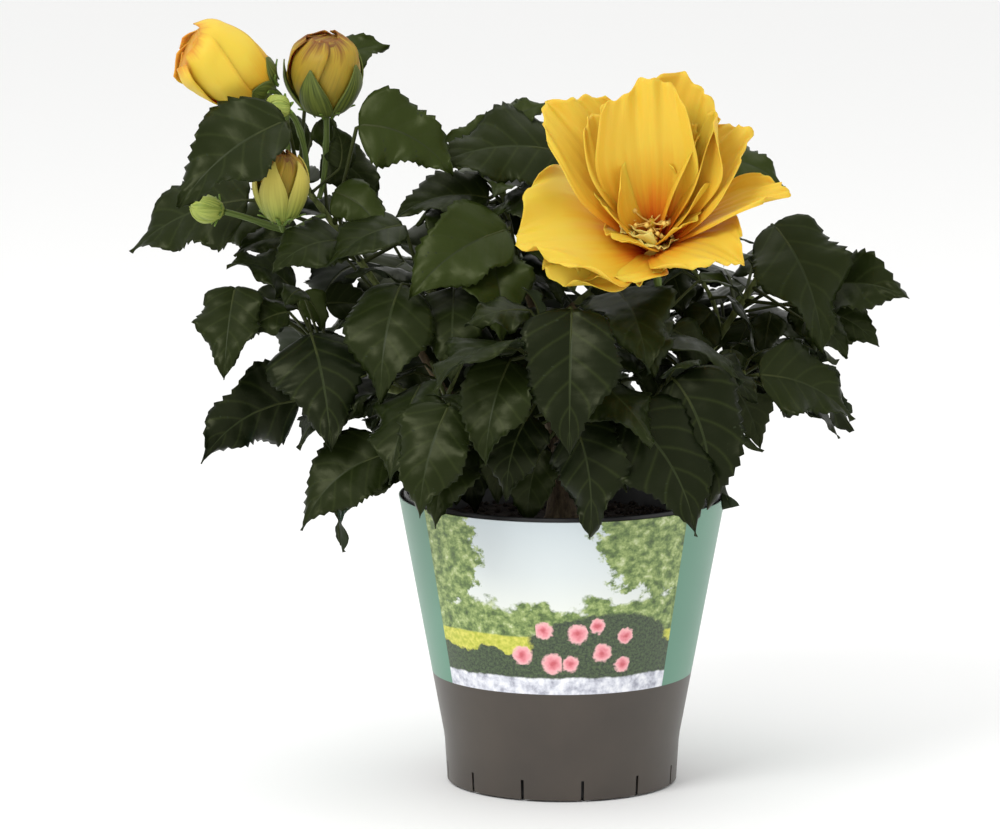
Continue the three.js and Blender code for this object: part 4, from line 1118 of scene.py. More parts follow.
def growShoot(name, number, leaves, twigs):
    # side twigs and leaves by the rule
    shoot, stem = shoots[name], stems[name]
    size = shoot["size"]
    lines = [{"path": stem, "from": leafRule["firstNode"], "count": shoot["leaves"], "size": size,
              "turn": shoot["turn"]}]
    for k in range(shoot["sides"]):
        at = mix(*sideRule["places"], (k + 0.5) / shoot["sides"])
        angle = shoot["turn"] + leafRule["goldenTurn"] * (k * 3 + 1)
        path = sideTwig(name, at, angle, size, mix(*sideRule["reach"], chance(number, 80 + k, 0)),
                        lambda i: chance(number, 90 + k, i))
        if path is None:
            continue
        twigs.append(path)
        lines.append({"path": path, "from": sideRule["firstNode"], "count": sideRule["leaves"],
                      "size": size * sideRule["size"], "turn": angle})
    for row, line in enumerate(lines):
        for i in range(line["count"]):
            rise = i / max(line["count"] - 1, 1)
            at = mix(line["from"], leafRule["lastNode"], rise ** 0.85)
            seed = lambda k: chance(number, row * 40 + i, k)
            length = line["size"] * mix(1, leafRule["tipSize"], rise ** 2.2)
            length = length * mix(*leafRule["sizeVary"], seed(0))
            angle = line["turn"] + leafRule["goldenTurn"] * i
            axil, along = pointOn(line["path"], at), headingOn(line["path"], at)
            placeLeaf(lambda swing, scale, attempt: ruledLeaf(
                axil, along, angle + swing, rise, length * scale, seed, attempt), name, False, leaves)


def sideTwig(name, at, angle, size, reach, seed):
    # none where it would meet something or stray to another shoot
    stem = stems[name]
    along, axil = headingOn(stem, at), pointOn(stem, at)
    aim = ruledLeaf(axil, along, angle, 0.8, size, seed)
    way = unit(mix(unit(aim["foot"] - axil), np.array([0, 0, 1.0]), 0.25))
    tip = axil + way * reach
    path = bentPath(axil, unit(mix(way, along, 0.4)), tip, 3)
    thing = limbThing(np.concatenate([[pointOn(path, 0.35)], path[2:]]), stemRadii[1], name)
    if meetsAny(thing) or not keepsToItsSpace(tip, name):
        return None
    things.append(thing)
    return path


# Twiglets and small leaves that are finer than the solids have, kept inside the box of the shoot's solid

finerGrowth = {
    "places": (0.25, 0.85), "reach": (16, 30), "nodes": (0.6, 0.97), "twigLeaves": 4, "leafSize": (24, 36),
    "fillPlaces": (0.15, 0.9), "fillLeaves": 6, "fillSize": (32, 54), "aimSize": 40,
    "tries": 8, "swing": 0.8, "shrink": 0.06,
    "youngSize": (9, 19), "youngFold": (0.5, 0.9), "youngOut": 0.6, "youngUp": 0.4,
}

# small leaves placed one by one, told as the posed ones above
smallPosed = {
    "left_top": [
        [0.6, (-106, -14, 229), (-138, -22, 219), 0],
        [0.9, (-88, -6, 258), (-90, -10, 284), 0],
        [0.6, (-118, -16, 232), (-168, -26, 216), 0],
        [0.3, (-92, -10, 222), (-126, -22, 210), 0],
        [0.97, (-106, 6, 276), (-98, 10, 250), 0],
    ],
    "left_mid": [
        [0.9, (-120, -28, 212), (-150, -38, 204), 0],
        [1, (-110, -16, 208), (-142, -24, 222), 0],
        [0.98, (-108, -20, 208), (-98, -26, 184), 0],
    ],
    "left_low": [
        [0.9, (-64, -50, 145), (-86, -56, 125), 0],
        [0.7, (-40, -36, 152), (-42, -38, 116), 0],
        [0.4, (-30, -22, 152), (-36, -28, 116), 0],
    ],
    "front_low": [
        [0.2, (-8, -46, 148), (-14, -52, 115), 0],
        [0.25, (-18, -44, 152), (-30, -46, 116), 0],
        [0.1, (-16, -30, 146), (-20, -34, 114), 0],
        [0.1, (14, -30, 146), (10, -34, 114), 0],
    ],
    "front_right": [
        [0.4, (28, -44, 156), (30, -48, 116), 0],
    ],
    "flower": [
        [0.7, (44, -38, 194), (62, -48, 170), 0],
        [0.5, (34, -30, 184), (46, -34, 156), 0],
    ],
    "right_top": [
        [0.9, (104, -14, 196), (126, -22, 180), 0],
        [0.5, (62, -4, 198), (50, -10, 170), 0],
        [0.6, (82, -6, 196), (72, -12, 166), 0],
        [0.7, (94, -6, 200), (102, -14, 170), 0],
    ],
    "right_low": [
        [0.95, (86, -40, 168), (112, -48, 146), -0.8],
        [0.7, (60, -28, 186), (50, -38, 162), 0],
    ],
    "right_back": [
        [0.15, (48, 22, 158), (46, 30, 118), 0],
        [0.5, (66, 44, 166), (84, 52, 130), 0],
        [0.6, (82, 30, 190), (78, 16, 162), 0],
        [0.8, (98, 42, 188), (106, 32, 164), 0],
    ],
    "middle_top": [
        [0.98, (-22, -4, 268), (-50, -8, 268), 0],
        [0.98, (-26, 4, 270), (-4, 2, 283), 0],
    ],
    "back_left": [
        [0.3, (-36, 42, 162), (-42, 38, 122), 0],
        [0.6, (-58, 58, 176), (-78, 66, 142), 0],
    ],
    "back_right": [
        [0.1, (12, 48, 160), (16, 54, 120), 0],
    ],
    "back_low": [
        [0.3, (-12, 56, 154), (-16, 56, 118), 0],
        [0.7, (14, 84, 150), (34, 96, 116), 0],
    ],
    "middle_right": [
        [0.6, (44, 18, 216), (56, 6, 190), 0],
        [0.5, (30, 14, 212), (40, 4, 186), 0],
    ],
}


def insideItsBox(leaf, box):
    points = bladePoints(leaf, [0.5, 1], [-1, 0, 1]).reshape(-1, 3)
    return (points > box[0]).all() and (points < box[1]).all()


def growFiner(name, number, leaves, twigs):
    shoot, stem = shoots[name], stems[name]
    box = [np.array(corner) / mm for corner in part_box("leaves_" + name)]

    def tryLeaf(path, at, angle, rise, length, seed):
        axil, along = pointOn(path, at), headingOn(path, at)
        for attempt in range(finerGrowth["tries"]):
            swung, shorter = angle + finerGrowth["swing"] * attempt, 1 - finerGrowth["shrink"] * attempt
            leaf = ruledLeaf(axil, along, swung, rise, length * shorter, seed, attempt)
            thing = leafThing(leaf, name)
            if insideItsBox(leaf, box) and fits(leaf, thing, name, False):
                things.append(thing)
                leaves.append(leaf)
                return

    for k in range(shoot["finer"]):
        draw = lambda i: chance(number, 300 + k, i)
        angle = shoot["turn"] + 1.1 + leafRule["goldenTurn"] * (k * 2 + 1)
        at, reach = mix(*finerGrowth["places"], draw(0)), mix(*finerGrowth["reach"], draw(1))
        path = sideTwig(name, at, angle, finerGrowth["aimSize"], reach, draw)
        if path is None:
            continue
        twigs.append(path)
        for i in range(finerGrowth["twigLeaves"]):
            at = mix(*finerGrowth["nodes"], i / (finerGrowth["twigLeaves"] - 1))
            size = mix(*finerGrowth["leafSize"], draw(10 + i))
            tryLeaf(path, at, angle + leafRule["goldenTurn"] * i, 0.4 + 0.2 * i, size,
                    lambda j: chance(number, 340 + k * 6 + i, j))
    for i in range(shoot["finer"] * finerGrowth["fillLeaves"]):
        draw = lambda j: chance(number, 400 + i, j)
        at = mix(*finerGrowth["fillPlaces"], draw(8))
        tryLeaf(stem, at, 2 * math.pi * draw(9), at, mix(*finerGrowth["fillSize"], draw(7)), draw)


def growTips(name, number, leaves, twigs):
    # the youngest leaves stand round the end of a stem, half folded
    ends = [(stems[name], shoots[name]["young"])] + [(twig, 2) for twig in twigs]
    for row, (path, count) in enumerate(ends):
        along = headingOn(path, 1)
        across = unit(np.cross(along, sideways(along)))
        for k in range(count):
            draw = lambda i: chance(number, 500 + row * 8 + k, i)
            angle = leafRule["goldenTurn"] * (k + 3 * row)
            out = across * math.cos(angle) + np.cross(across, along) * math.sin(angle)
            way = unit(along * 0.9 + out * finerGrowth["youngOut"] + np.array([0, 0, finerGrowth["youngUp"]]))
            length = mix(*finerGrowth["youngSize"], draw(0))
            leaf = {
                "axil": path[-1], "foot": path[-1] + way * length * 0.3, "length": length,
                "heading": math.atan2(way[1], way[0]), "pitch": math.asin(way[2]) - 0.1, "curl": 0.9,
                "roll": 0.6 * (draw(1) - 0.5), "fold": mix(*finerGrowth["youngFold"], draw(2)), "young": True,
            }
            thing = leafThing(leaf, name)
            if not meetsPot(bladePoints(leaf, [0.5, 1], [0]).reshape(-1, 3)) and not meetsAny(thing):
                things.append(thing)
                leaves.append(leaf)


def stalkPath(stem, at, foot, axis):
    # leaves the stem's side or end clear of it and reaches the foot along the bloom's axis
    root, along = pointOn(stem, at), headingOn(stem, at)
    aim = unit(foot - axis * 8 - root)
    aside = unit(aim - along * aim.dot(along))
    way = unit(aside * 0.85 + along * 0.53) if at < 1 else unit(mix(along, aim, 0.3))
    cosine = abs(way.dot(along))
    sine = math.sqrt(1 - cosine * cosine)
    if at < 1:
        beside = 0.85 * mix(stemRadii[0], stemRadii[1], at) + seatGap
        clear = (beside + 0.7 * stalkRadius * cosine) / sine
    else:
        clear = (seatGap + stalkRadius * sine) / cosine
    start = root + way * clear
    t = np.linspace(0, 1, 7)[:, None]
    return ((1 - t) ** 3 * start + 3 * t * (1 - t) ** 2 * (start + way * 8)
            + 3 * t * t * (1 - t) * (foot - axis * 10) + t ** 3 * foot)


def petalPoints(petal, us, ts, ruffle=0.0, seed=0):
    # us from -1 to 1 across, ts from 0 at the petal's foot to 1 at its edge
    turn, length, halfWidth, footAngle, edgeAngle, roll, cup = petal
    axis = flower["axis"]
    right = unit(np.cross([0, 0, 1], axis))
    high = np.cross(axis, right)
    out = right * math.cos(math.radians(turn)) + high * math.sin(math.radians(turn))
    side = np.cross(axis, out)
    u, t = np.meshgrid(us, ts)
    reach = t * (1 - 0.45 * halfWidth / length * u * u * t)
    phase = [2 * math.pi * chance(seed, 700, k) for k in range(6)]
    if ruffle:
        scallops = np.sin(u * 3.4 + phase[0]) + 0.4 * np.sin(u * 8 + phase[1])
        scallops = scallops + 0.3 * np.sin(u * 17 + phase[4])
        reach = reach * (1 - 0.03 * ruffle * t ** 4 * (1 + scallops))
    steps = 6
    mids = reach[..., None] * (np.arange(steps) + 0.5) / steps
    leans = np.radians(mix(footAngle, edgeAngle, mids))
    place = flower["foot"] + axis * (length * reach * np.cos(leans).mean(axis=-1))[..., None]
    place = place + out * (length * reach * np.sin(leans).mean(axis=-1))[..., None]
    last = leans[..., -1:]
    face = axis * np.sin(last) - out * np.cos(last)
    wide = halfWidth * mix(0.16, 1, np.sin(np.minimum(t / 0.75, 1) * math.pi * 0.5) ** 1.3)
    wide = wide * (1 - 0.25 * np.maximum(2 * t - 1, 0) ** 2)
    across = side * math.cos(roll) + face * math.sin(roll)
    hollow = halfWidth * cup * u * u * t
    if ruffle:
        wave = 0.08 * np.sin(u * 3.6 + phase[2] + t * 2) + 0.07 * np.sin(u * 7 + phase[3]) * t
        edge = 0.05 * np.sin(u * 12 + phase[4]) * t ** 3 + 0.08 * np.sin(t * 9 + phase[5]) * np.abs(u) ** 2
        edge = edge + 0.04 * np.sin(u * 21 + phase[0]) * t ** 5
        fineVeins = np.sin(u * 26 + phase[0] + 2 * u * t) * 0.28 * np.minimum(t * 4, 1) * (1 - 0.5 * t)
        hollow = hollow + ruffle * halfWidth * (wave * t ** 1.6 + edge * t) + fineVeins
        wide = wide * (1 + 0.05 * ruffle * np.sin(t * 9 + phase[1]) * t)
    return place + across * (wide * u)[..., None] + face * hollow[..., None]


# a bud's radius at places along it
budOutline = [[0, 0.25], [0.12, 0.62], [0.4, 0.96], [0.64, 1], [0.86, 0.7], [1, 0.16]]


def growAll():
    things.append(limbThing([(0, 0, soilTop), trunkTop], trunkRadii["foot"], "trunk"))
    for name, bough in boughs.items():
        things.append(limbThing(boughPath(bough), boughRadius, name))
    for name, stem in stems.items():
        things.append(limbThing(stem, stemRadii[0], name))
    for name, (at, foot, axis, length, radius, _, _) in buds.items():
        foot, axis = np.array(foot, float), unit(axis)
        rings = ringsAlong([foot + axis * length * t for t, _ in budOutline],
                           [(radius + 2) * r for _, r in budOutline], 6)
        things.append(sheetThing(np.concatenate([rings, rings[:, :1]], axis=1), 0.5, name))
        things.append(limbThing(stalkPath(stems["left_top"], at, foot, axis)[1:], stalkRadius, name))
    for petal in flower["petals"]:
        grid = petalPoints(petal, np.linspace(-1, 1, 3), mix(0.03, 1, np.arange(5) / 4))
        things.append(sheetThing(grid, 2.5, "flower_open"))
    stalk = stalkPath(stems["flower"], 1, flower["foot"], flower["axis"])
    things.append(limbThing(stalk, stalkRadius + 2, "flower_open"))
    grown = {name: {"leaves": [], "twigs": []} for name in shoots}
    for number, (name, mass) in enumerate(grown.items()):
        poseLeaves(name, number, mass["leaves"], shoots[name]["posed"], 200)
    for number, (name, mass) in enumerate(grown.items()):
        growShoot(name, number, mass["leaves"], mass["twigs"])
    main = sum(len(mass["leaves"]) for mass in grown.values())
    for number, (name, mass) in enumerate(grown.items()):
        poseLeaves(name, number, mass["leaves"], smallPosed.get(name, []), 240)
        growTips(name, number, mass["leaves"], mass["twigs"])
        growFiner(name, number, mass["leaves"], mass["twigs"])
    every = sum(len(mass["leaves"]) for mass in grown.values())
    print("growth rule done:", main, "leaves of the solids,", every - main, "finer ones")
    return grown


# Wood: the trunk and boughs fused into one limbed form, with the bark's relief

woodLook = {
    "voxel": 0.6, "trunkRings": 14, "trunkSides": 40, "limbRadii": (3.3, 2.2),
    "relief": {"ridges": (1.6, 0.55), "lumps": (6.0, 0.7)}, # size and height
}


def makeWood():
    parts = []
    ground = soilTop + seatGap - 1.2
    count, sides = woodLook["trunkRings"], woodLook["trunkSides"]
    levels = np.linspace(0, 1, count)
    flare, foot, waist, neck = (trunkRadii[name] for name in ("flare", "foot", "waist", "neck"))
    radii = np.interp(levels, [0, 0.12, 0.3, 0.65, 1], [flare, foot + 1.2, foot, waist, neck])
    heights = mix(ground, trunkTop[2], levels)
    path = np.stack([trunkTop[0] * levels ** 2, trunkTop[1] * levels ** 2, heights], axis=1)
    rings = []
    angles = 2 * math.pi * np.arange(sides) / sides
    for level, place, radius in zip(levels, path, radii):
        root = 1 + 0.16 * max(0, 1 - level / 0.2) * np.cos(angles * 5 + 0.4) # five low root ridges
        ring = np.stack([np.cos(angles), np.sin(angles), 0 * angles], axis=1)
        rings.append(place + ring * (radius * root)[:, None])
    addPart(parts, np.array(rings), ringFaces(count, sides), 0)
    for bough in boughs.values():
        limb = smoothPath(np.concatenate([[trunkTop], boughPath(bough), [bough["tip"]]]), 40)
        addTube(parts, limb, np.linspace(*woodLook["limbRadii"], 40), 16, 0)
    wood = joinParts("barkedWood", parts, [])
    knots = [(trunkTop, trunkKnuckle)] + [(bough["tip"], boughKnuckle) for bough in boughs.values()]
    balls = []
    for place, radius in knots:
        deselectAll()
        bpy.ops.mesh.primitive_uv_sphere_add(
            segments=24, ring_count=16, radius=radius * mm, location=np.array(place) * mm)
        settle(bpy.context.object)
        balls.append(bpy.context.object)
    makeActive(wood)
    for ball in balls:
        ball.select_set(True)
    bpy.ops.object.join()
    fused = wood.modifiers.new("fused", "REMESH")
    fused.mode = "VOXEL"
    fused.voxel_size = woodLook["voxel"] * mm
    eased = wood.modifiers.new("eased", "SMOOTH")
    eased.iterations = 6
    for name, (size, strength) in woodLook["relief"].items():
        texture = bpy.data.textures.new(name, "CLOUDS")
        texture.noise_scale = size * mm
        relief = wood.modifiers.new(name, "DISPLACE")
        relief.texture = texture
        relief.texture_coords = "LOCAL"
        relief.strength = strength * mm
        relief.mid_level = 0.6
    applyAll(wood)
    bark = surface("greyBark", Roughness=0.85)
    long = objectPlace(bark, (1, 1, 0.25))
    shade = ramp(bark, noise(bark, long, 420, 6, 0.65),
                 [(0.3, colour(62, 50, 38)), (0.5, colour(104, 88, 66)), (0.7, colour(146, 130, 102))])
    paint(bark, shade, noise(bark, long, 900, 5, 0.7), 0.6, 0.0006)
    wood.data.materials.clear()
    wood.data.materials.append(bark)
    bpy.ops.object.shade_smooth()
    dress(wood, "bark", "trunk", *["bough_" + name for name in boughs])
    print("trunk and boughs dressed")


# Leaves: a toothed blade, quilted between its veins, on a petiole that runs on as the midrib below

leafLook = {
    "toothSpacing": 4.4, "toothDepth": 1.3, "veins": 6, "veinSlant": 0.24, "veinShow": 0.5, "quilt": 0.018,
    "edgeWave": 0.055, "lobes": 0.13, "twist": 0.5, "thickness": 0.45, "margin": 0.22,
    "columns": (1, 0.87, 0.68, 0.47, 0.26, 0.03, 0), "fewColumns": (1, 0.7, 0.35, 0.04, 0), "smallBlade": 26,
    "toothPhases": (0, 0.42, 0.82), "ribPlaces": (0.06, 0.2, 0.4, 0.6, 0.8, 0.93),
    "ribRadii": (1.25, 0.95, 0.85, 0.85, 0.8, 0.7, 0.55, 0.42, 0.3, 0.18), # from the axil to the midrib's end
    "sheenTint": (0.95, 1, 0.6, 1),
    "deep": colour(13, 19, 6), "mid": colour(23, 30, 9), "olive": colour(37, 46, 15),
    "young": colour(76, 88, 36), "under": colour(40, 48, 28), "rib": colour(44, 52, 24),
    "stalk": colour(56, 62, 30),
}
leafTones = ("deep", "mid", "olive", "young") # a leaf's slots 0 to 3, its under side, midrib and stalk follow
underSlot, ribSlot, stalkSlot = 4, 5, 6


def shaded(base, share):
    return tuple(min(1, part * share) for part in base[:3]) + (1,)


def leafMaterials():
    made = []
    for tone in leafTones:
        leaf = surface(tone + "Leaf", Roughness=0.35, Specular_IOR_Level=0.14,
                       Specular_Tint=leafLook["sheenTint"])
        base = leafLook[tone]
        uv = node(leaf, "TexCoord", {}).outputs["UV"]
        parts = node(leaf, "SeparateXYZ", {0: uv}).outputs
        out = reckon(leaf, "ABSOLUTE", minus(leaf, parts[0], 0.5))
        row = minus(leaf, parts[1], times(leaf, out, 2 * leafLook["veinSlant"]))
        phase = reckon(leaf, "PINGPONG", times(leaf, row, leafLook["veins"] * 2.0), 1.0)
        vein = ramp(leaf, phase, [(0, 1.0), (0.1, 0.5), (0.26, 0.0)])
        patches = noise(leaf, objectPlace(leaf), 60, 3)
        blade = blendColours(leaf, times(leaf, patches, 0.5), base, shaded(base, 1.55))
        blade = blendColours(leaf, times(leaf, vein, leafLook["veinShow"]), blade, leafLook["rib"])
        made.append(paint(leaf, blade, noise(leaf, objectPlace(leaf), 800, 3), 0.1, 0.0003))
    for tone, roughness in (("under", 0.6), ("rib", 0.4), ("stalk", 0.5)):
        part = surface(tone + "Leaf", Roughness=roughness, Specular_IOR_Level=0.12)
        base = leafLook[tone]
        patches = noise(part, objectPlace(part), 90, 3)
        made.append(paint(part, blendColours(part, patches, shaded(base, 0.75), base)))
    return made


def bladeRows(length, draw):
    # places along a blade, three to a tooth, and how far out or in the edge steps at each
    look = leafLook
    teeth = max(4, round(length / look["toothSpacing"]))
    last = look["toothPhases"][-1]
    ts, notch = [0.012, 0.04, 0.08, 0.12], [0] * 4
    for k in range(teeth):
        for phase in look["toothPhases"]:
            ts.append(mix(0.15, 0.94, (k + phase) / teeth))
            notch.append(mix(-0.5, 0.5, phase / last) * mix(0.2, 1.7, draw(20 + k)))
    return np.array(ts + [0.955, 0.975, 0.992]), np.array(notch + [-0.2, 0, 0])


def leafTone(leaf, draw):
    # young leaves are the palest; of the others the high and short ones are paler and the low and long ones
    # darker, partly painted light from above and painted shade low in the crown, partly the paler green of
    # younger leaves
    if leaf.get("young"):
        return 3 if draw(6) < 0.6 else 2
    paleByLightAndAge = leaf["foot"][2] / 300 + 0.35 * draw(6) - (0.2 if leaf["length"] > 55 else 0)
    return 2 if paleByLightAndAge > 0.98 else 1 if paleByLightAndAge > 0.66 else 0


def addBlade(parts, leaf, draw):
    look, length = leafLook, leaf["length"]
    half = look["fewColumns"] if length < look["smallBlade"] else look["columns"]
    us = np.array(half + tuple(-u for u in half[-2::-1]))
    ts, notch = bladeRows(length, draw)
    places, side, normal = bladeFrames(leaf, ts)
    twist = (look["twist"] * (draw(7) - 0.5) * 2 * ts)[:, None]
    side, normal = (side * np.cos(twist) + normal * np.sin(twist),
                    normal * np.cos(twist) - side * np.sin(twist))
    wide = bladeWidth(leaf, ts)
    depth = look["toothDepth"] * min(1, length / 50) * np.minimum(1, 4 * ts) * np.minimum(1, 5 * (1 - ts))
    u, t = np.meshgrid(us, ts)
    out = np.abs(u)
    lobe = np.sin(2 * math.pi * mix(1.2, 2.4, draw(8)) * t + np.where(u > 0, 6.3 * draw(9), 6.3 * draw(10)))
    reach = u * wide[:, None] * (1 + look["lobes"] * lobe * out ** 2 * np.minimum(1, 3 * (1 - t)))
    reach = reach + np.sign(u) * out ** 7 * (notch * depth)[:, None]
    between = np.abs(np.sin(math.pi * (t - look["veinSlant"] * out) * look["veins"]))
    quilted = np.clip(out * 5, 0, 1) * (1 - out ** 3) * np.minimum(1, 6 * (1 - t))
    quilt = look["quilt"] * length * (between - 0.6) * quilted
    phase = np.where(u > 0, 6.3 * draw(1), 6.3 * draw(2))
    wave = np.sin(2 * math.pi * mix(1.6, 2.8, draw(3)) * t + phase)
    wave = look["edgeWave"] * length * mix(0.5, 1.3, draw(4)) * out ** 2.6 * wave
    arch = -mix(0.05, 0.3, draw(5)) * wide[:, None] * out ** 2
    groove = -0.35 * np.exp(-(u / 0.12) ** 2) * (1 - t)
    lift = np.abs(reach) * math.sin(leaf["fold"]) + arch + quilt + wave * np.minimum(1, 3 * t) + groove
    flat = side[:, None] * (reach * math.cos(leaf["fold"]))[..., None]
    grid = places[:, None] + flat + normal[:, None] * lift[..., None]
    thickness = mix(look["thickness"], look["margin"], out) * (1 - 0.4 * t) * min(1, length / 30)
    slots = np.full((len(ts) - 1, len(us) - 1), leafTone(leaf, draw))
    slots[:, np.abs(us[:-1] + us[1:]) < 0.1] = ribSlot
    addSlab(parts, grid, thickness, slots, underSlot, np.stack([u * 0.5 + 0.5, t], axis=-1))


def addLeaf(parts, leaf, number):
    addBlade(parts, leaf, lambda k: chance(number, 900, k))
    thin = min(1, leaf["length"] / 45)
    ribs, _, below = bladeFrames(leaf, leafLook["ribPlaces"])
    axil, foot = leaf["axil"], leaf["foot"]
    petiole = [axil, mix(axil, foot, 0.2), mix(axil, foot, 0.6), mix(axil, foot, 0.97)]
    path = np.concatenate([petiole, ribs - below * (0.5 * thin)])
    addTube(parts, path, np.array(leafLook["ribRadii"]) * mix(0.45, 1, thin), 7, stalkSlot)


twigLook = {
    "sides": 10, "foot": 1.9, "sideRadii": (1.1, 0.7), "nodeSwell": (0.35, 0.2), # main stem and side twig
    "green": (colour(74, 82, 42), colour(104, 112, 62)), "brown": (colour(70, 58, 42), colour(110, 96, 70)),
}


def addTwig(parts, path, radii, swell, axils):
    # thicker where a leaf leaves it
    far = np.linalg.norm(path[:, None] - axils[None], axis=-1).min(axis=1)
    addTube(parts, path, radii + swell * np.exp(-(far / 1.6) ** 2), twigLook["sides"], 0)


def makeFoliage(grown):
    materials = leafMaterials()
    green = surface("greenTwig", Roughness=0.55, Specular_IOR_Level=0.15)
    brown = surface("brownTwig", Roughness=0.75, Specular_IOR_Level=0.15)
    for twig, (low, high) in ((green, twigLook["green"]), (brown, twigLook["brown"])):
        grain = noise(twig, objectPlace(twig, (1, 1, 0.3)), 500, 4)
        paint(twig, ramp(twig, grain, [(0.35, low), (0.65, high)]), grain, 0.3, 0.0003)
    mainSwell, sideSwell = twigLook["nodeSwell"]
    for number, (name, mass) in enumerate(grown.items()):
        parts = []
        for row, leaf in enumerate(mass["leaves"]):
            addLeaf(parts, leaf, number * 100 + row)
        dress(joinParts("blades_" + name, parts, materials), "foliage", "leaves_" + name)
        parts = []
        axils = np.array([leaf["axil"] for leaf in mass["leaves"]] + [path[0] for path in mass["twigs"]])
        root = np.array(boughs[shoots[name]["bough"]]["tip"], float)
        stem = smoothPath(np.concatenate([[root], stems[name]]), 44)
        addTwig(parts, stem, np.linspace(twigLook["foot"], stemRadii[1], len(stem)), mainSwell, axils)
        woody = parts[0][2]
        woody[:len(stem) // 3 * twigLook["sides"]] = 1 # the lower third has turned to wood
        for path in mass["twigs"]:
            path = smoothPath(path, 20)
            addTwig(parts, path, np.linspace(*twigLook["sideRadii"], len(path)), sideSwell, axils)
        dress(joinParts("twigs_" + name, parts, [green, brown]), "foliage", "leaves_" + name)
    print("foliage dressed:", len(grown), "shoots")


# Flower and buds

bloomLook = {
    "petalThickness": 0.55, "edgeThickness": 0.3, "rows": 34, "columns": 36,
    "outerFrom": 57, "innerFrom": 28, # lengths from which a petal is an outer and an inner one
    "filaments": 38, "filamentLength": (5, 9), "columnLength": 21, "antherSize": (0.9, 1.5),
    "throatCup": (2, 7, 11), # radius at foot and rim, height
    "yellow": colour(214, 180, 58), "deepYellow": colour(214, 160, 38), "orange": colour(214, 112, 22),
    "throat": colour(186, 42, 12), "cream": colour(228, 208, 118), "pollen": colour(232, 190, 84),
    "furledFoot": colour(150, 120, 40), "furledTip": colour(202, 142, 48),
    "streaked": [(0, colour(104, 98, 30)), (0.4, colour(130, 112, 32)), (0.78, colour(160, 132, 38)),
                 (1, colour(114, 72, 24))],
}
greenLook = { # light, dark, and the colour that the tip turns to
    "stripedSepal": (colour(136, 146, 66), colour(92, 106, 42), colour(206, 188, 88)),
    "greenBract": (colour(112, 136, 58), colour(66, 88, 36), None),
    "greenStalk": (colour(104, 122, 60), colour(70, 86, 42), None),
    "darkSepal": (colour(98, 108, 46), colour(52, 64, 26), None),
    "closedSepal": (colour(160, 170, 84), colour(116, 134, 58), None),
}
outerSlot, innerSlot, pollenSlot, foldSlot = range(4)
bractSlot, stemSlot = 1, 2 # of the greens, whose other three are sepals


def petalMaterial(name, stops, streaks):
    # yellow at the edge and deeper to the foot, in streaks along the petal
    petal = surface(name, Roughness=0.55, Specular_IOR_Level=0.25,
                    Subsurface_Weight=0.25, Subsurface_Scale=0.003)
    uv = node(petal, "TexCoord", {}).outputs["UV"]
    parts = node(petal, "SeparateXYZ", {0: uv}).outputs
    long = node(petal, "Mapping", {"Vector": uv, "Scale": (30, 1.2, 1)}).outputs[0]
    wide = node(petal, "Mapping", {"Vector": uv, "Scale": (5, 1.5, 1)}).outputs[0]
    shift = sway(petal, noise(petal, long, 1, 3), streaks * 2)
    drift = sway(petal, noise(petal, wide, 1, 2), streaks * 2.5)
    shade = ramp(petal, plus(petal, plus(petal, parts[1], shift), drift), stops)
    return paint(petal, shade, noise(petal, long, 1, 2), 0.12, 0.0005)


def bloomMaterials():
    throat, orange, deep, yellow, cream = (
        bloomLook[name] for name in ("throat", "orange", "deepYellow", "yellow", "cream"))
    # outer and inner petals turn orange towards the foot: partly the flower's own colour, partly painted warm
    # shade in the deep centre, stronger on the inner petals
    outer = petalMaterial(
        "yellowPetal", [(0.14, throat), (0.26, orange), (0.44, deep), (0.66, yellow), (1, yellow)], 0.12)
    inner = petalMaterial("orangePetal", [(0.05, throat), (0.28, orange), (0.52, deep), (0.82, yellow)], 0.16)
    pollen = surface("pollen", Roughness=0.8)
    paint(pollen, blendColours(pollen, noise(pollen, objectPlace(pollen), 800), bloomLook["pollen"], cream))
    fold = petalMaterial("creamPetal", [(0, orange), (0.3, cream), (1, cream)], 0.08)
    return [outer, inner, pollen, fold]


def greenMaterial(name):
    # striped along its length, and made once for all the calyces
    if name in bpy.data.materials:
        return bpy.data.materials[name]
    light, dark, tip = greenLook[name]
    green = surface(name, Roughness=0.5, Specular_IOR_Level=0.2)
    uv = node(green, "TexCoord", {}).outputs["UV"]
    long = node(green, "Mapping", {"Vector": uv, "Scale": (9, 0.7, 1)}).outputs[0]
    stripes = noise(green, long, 1.6, 3)
    shade = ramp(green, stripes, [(0.35, dark), (0.6, light)])
    if tip:
        height = node(green, "SeparateXYZ", {0: uv}).outputs[1]
        shade = blendColours(green, ramp(green, height, [(0.2, 0.0), (0.75, 0.8)]), shade, tip)
    return paint(green, shade, stripes, 0.15, 0.0004)


def greenMaterials():
    return [greenMaterial(name) for name in greenLook]


def bloomBasis(axis):
    side = unit(np.cross(axis, sideways(axis)))
    return side, np.cross(axis, side)


def around(foot, axis, length, radius, angles, ts):
    # points at angles round a bloom's axis, its radius given at each
    side, over = bloomBasis(axis)
    ring = np.cos(angles)[..., None] * side + np.sin(angles)[..., None] * over
    return foot + axis * (length * ts)[..., None] + ring * radius[..., None]


def outlineAt(ts, blunt):
    # a bud's radius along its length, its end kept more or less blunt
    given = np.array([[t, r, 0] for t, r in budOutline])
    given[-1, 1] = max(given[-1, 1], blunt)
    given[-2, 1] = max(given[-2, 1], mix(given[-2, 1], 1, blunt))
    fine = smoothPath(given, 60)
    return np.interp(ts, fine[:, 0], fine[:, 1])


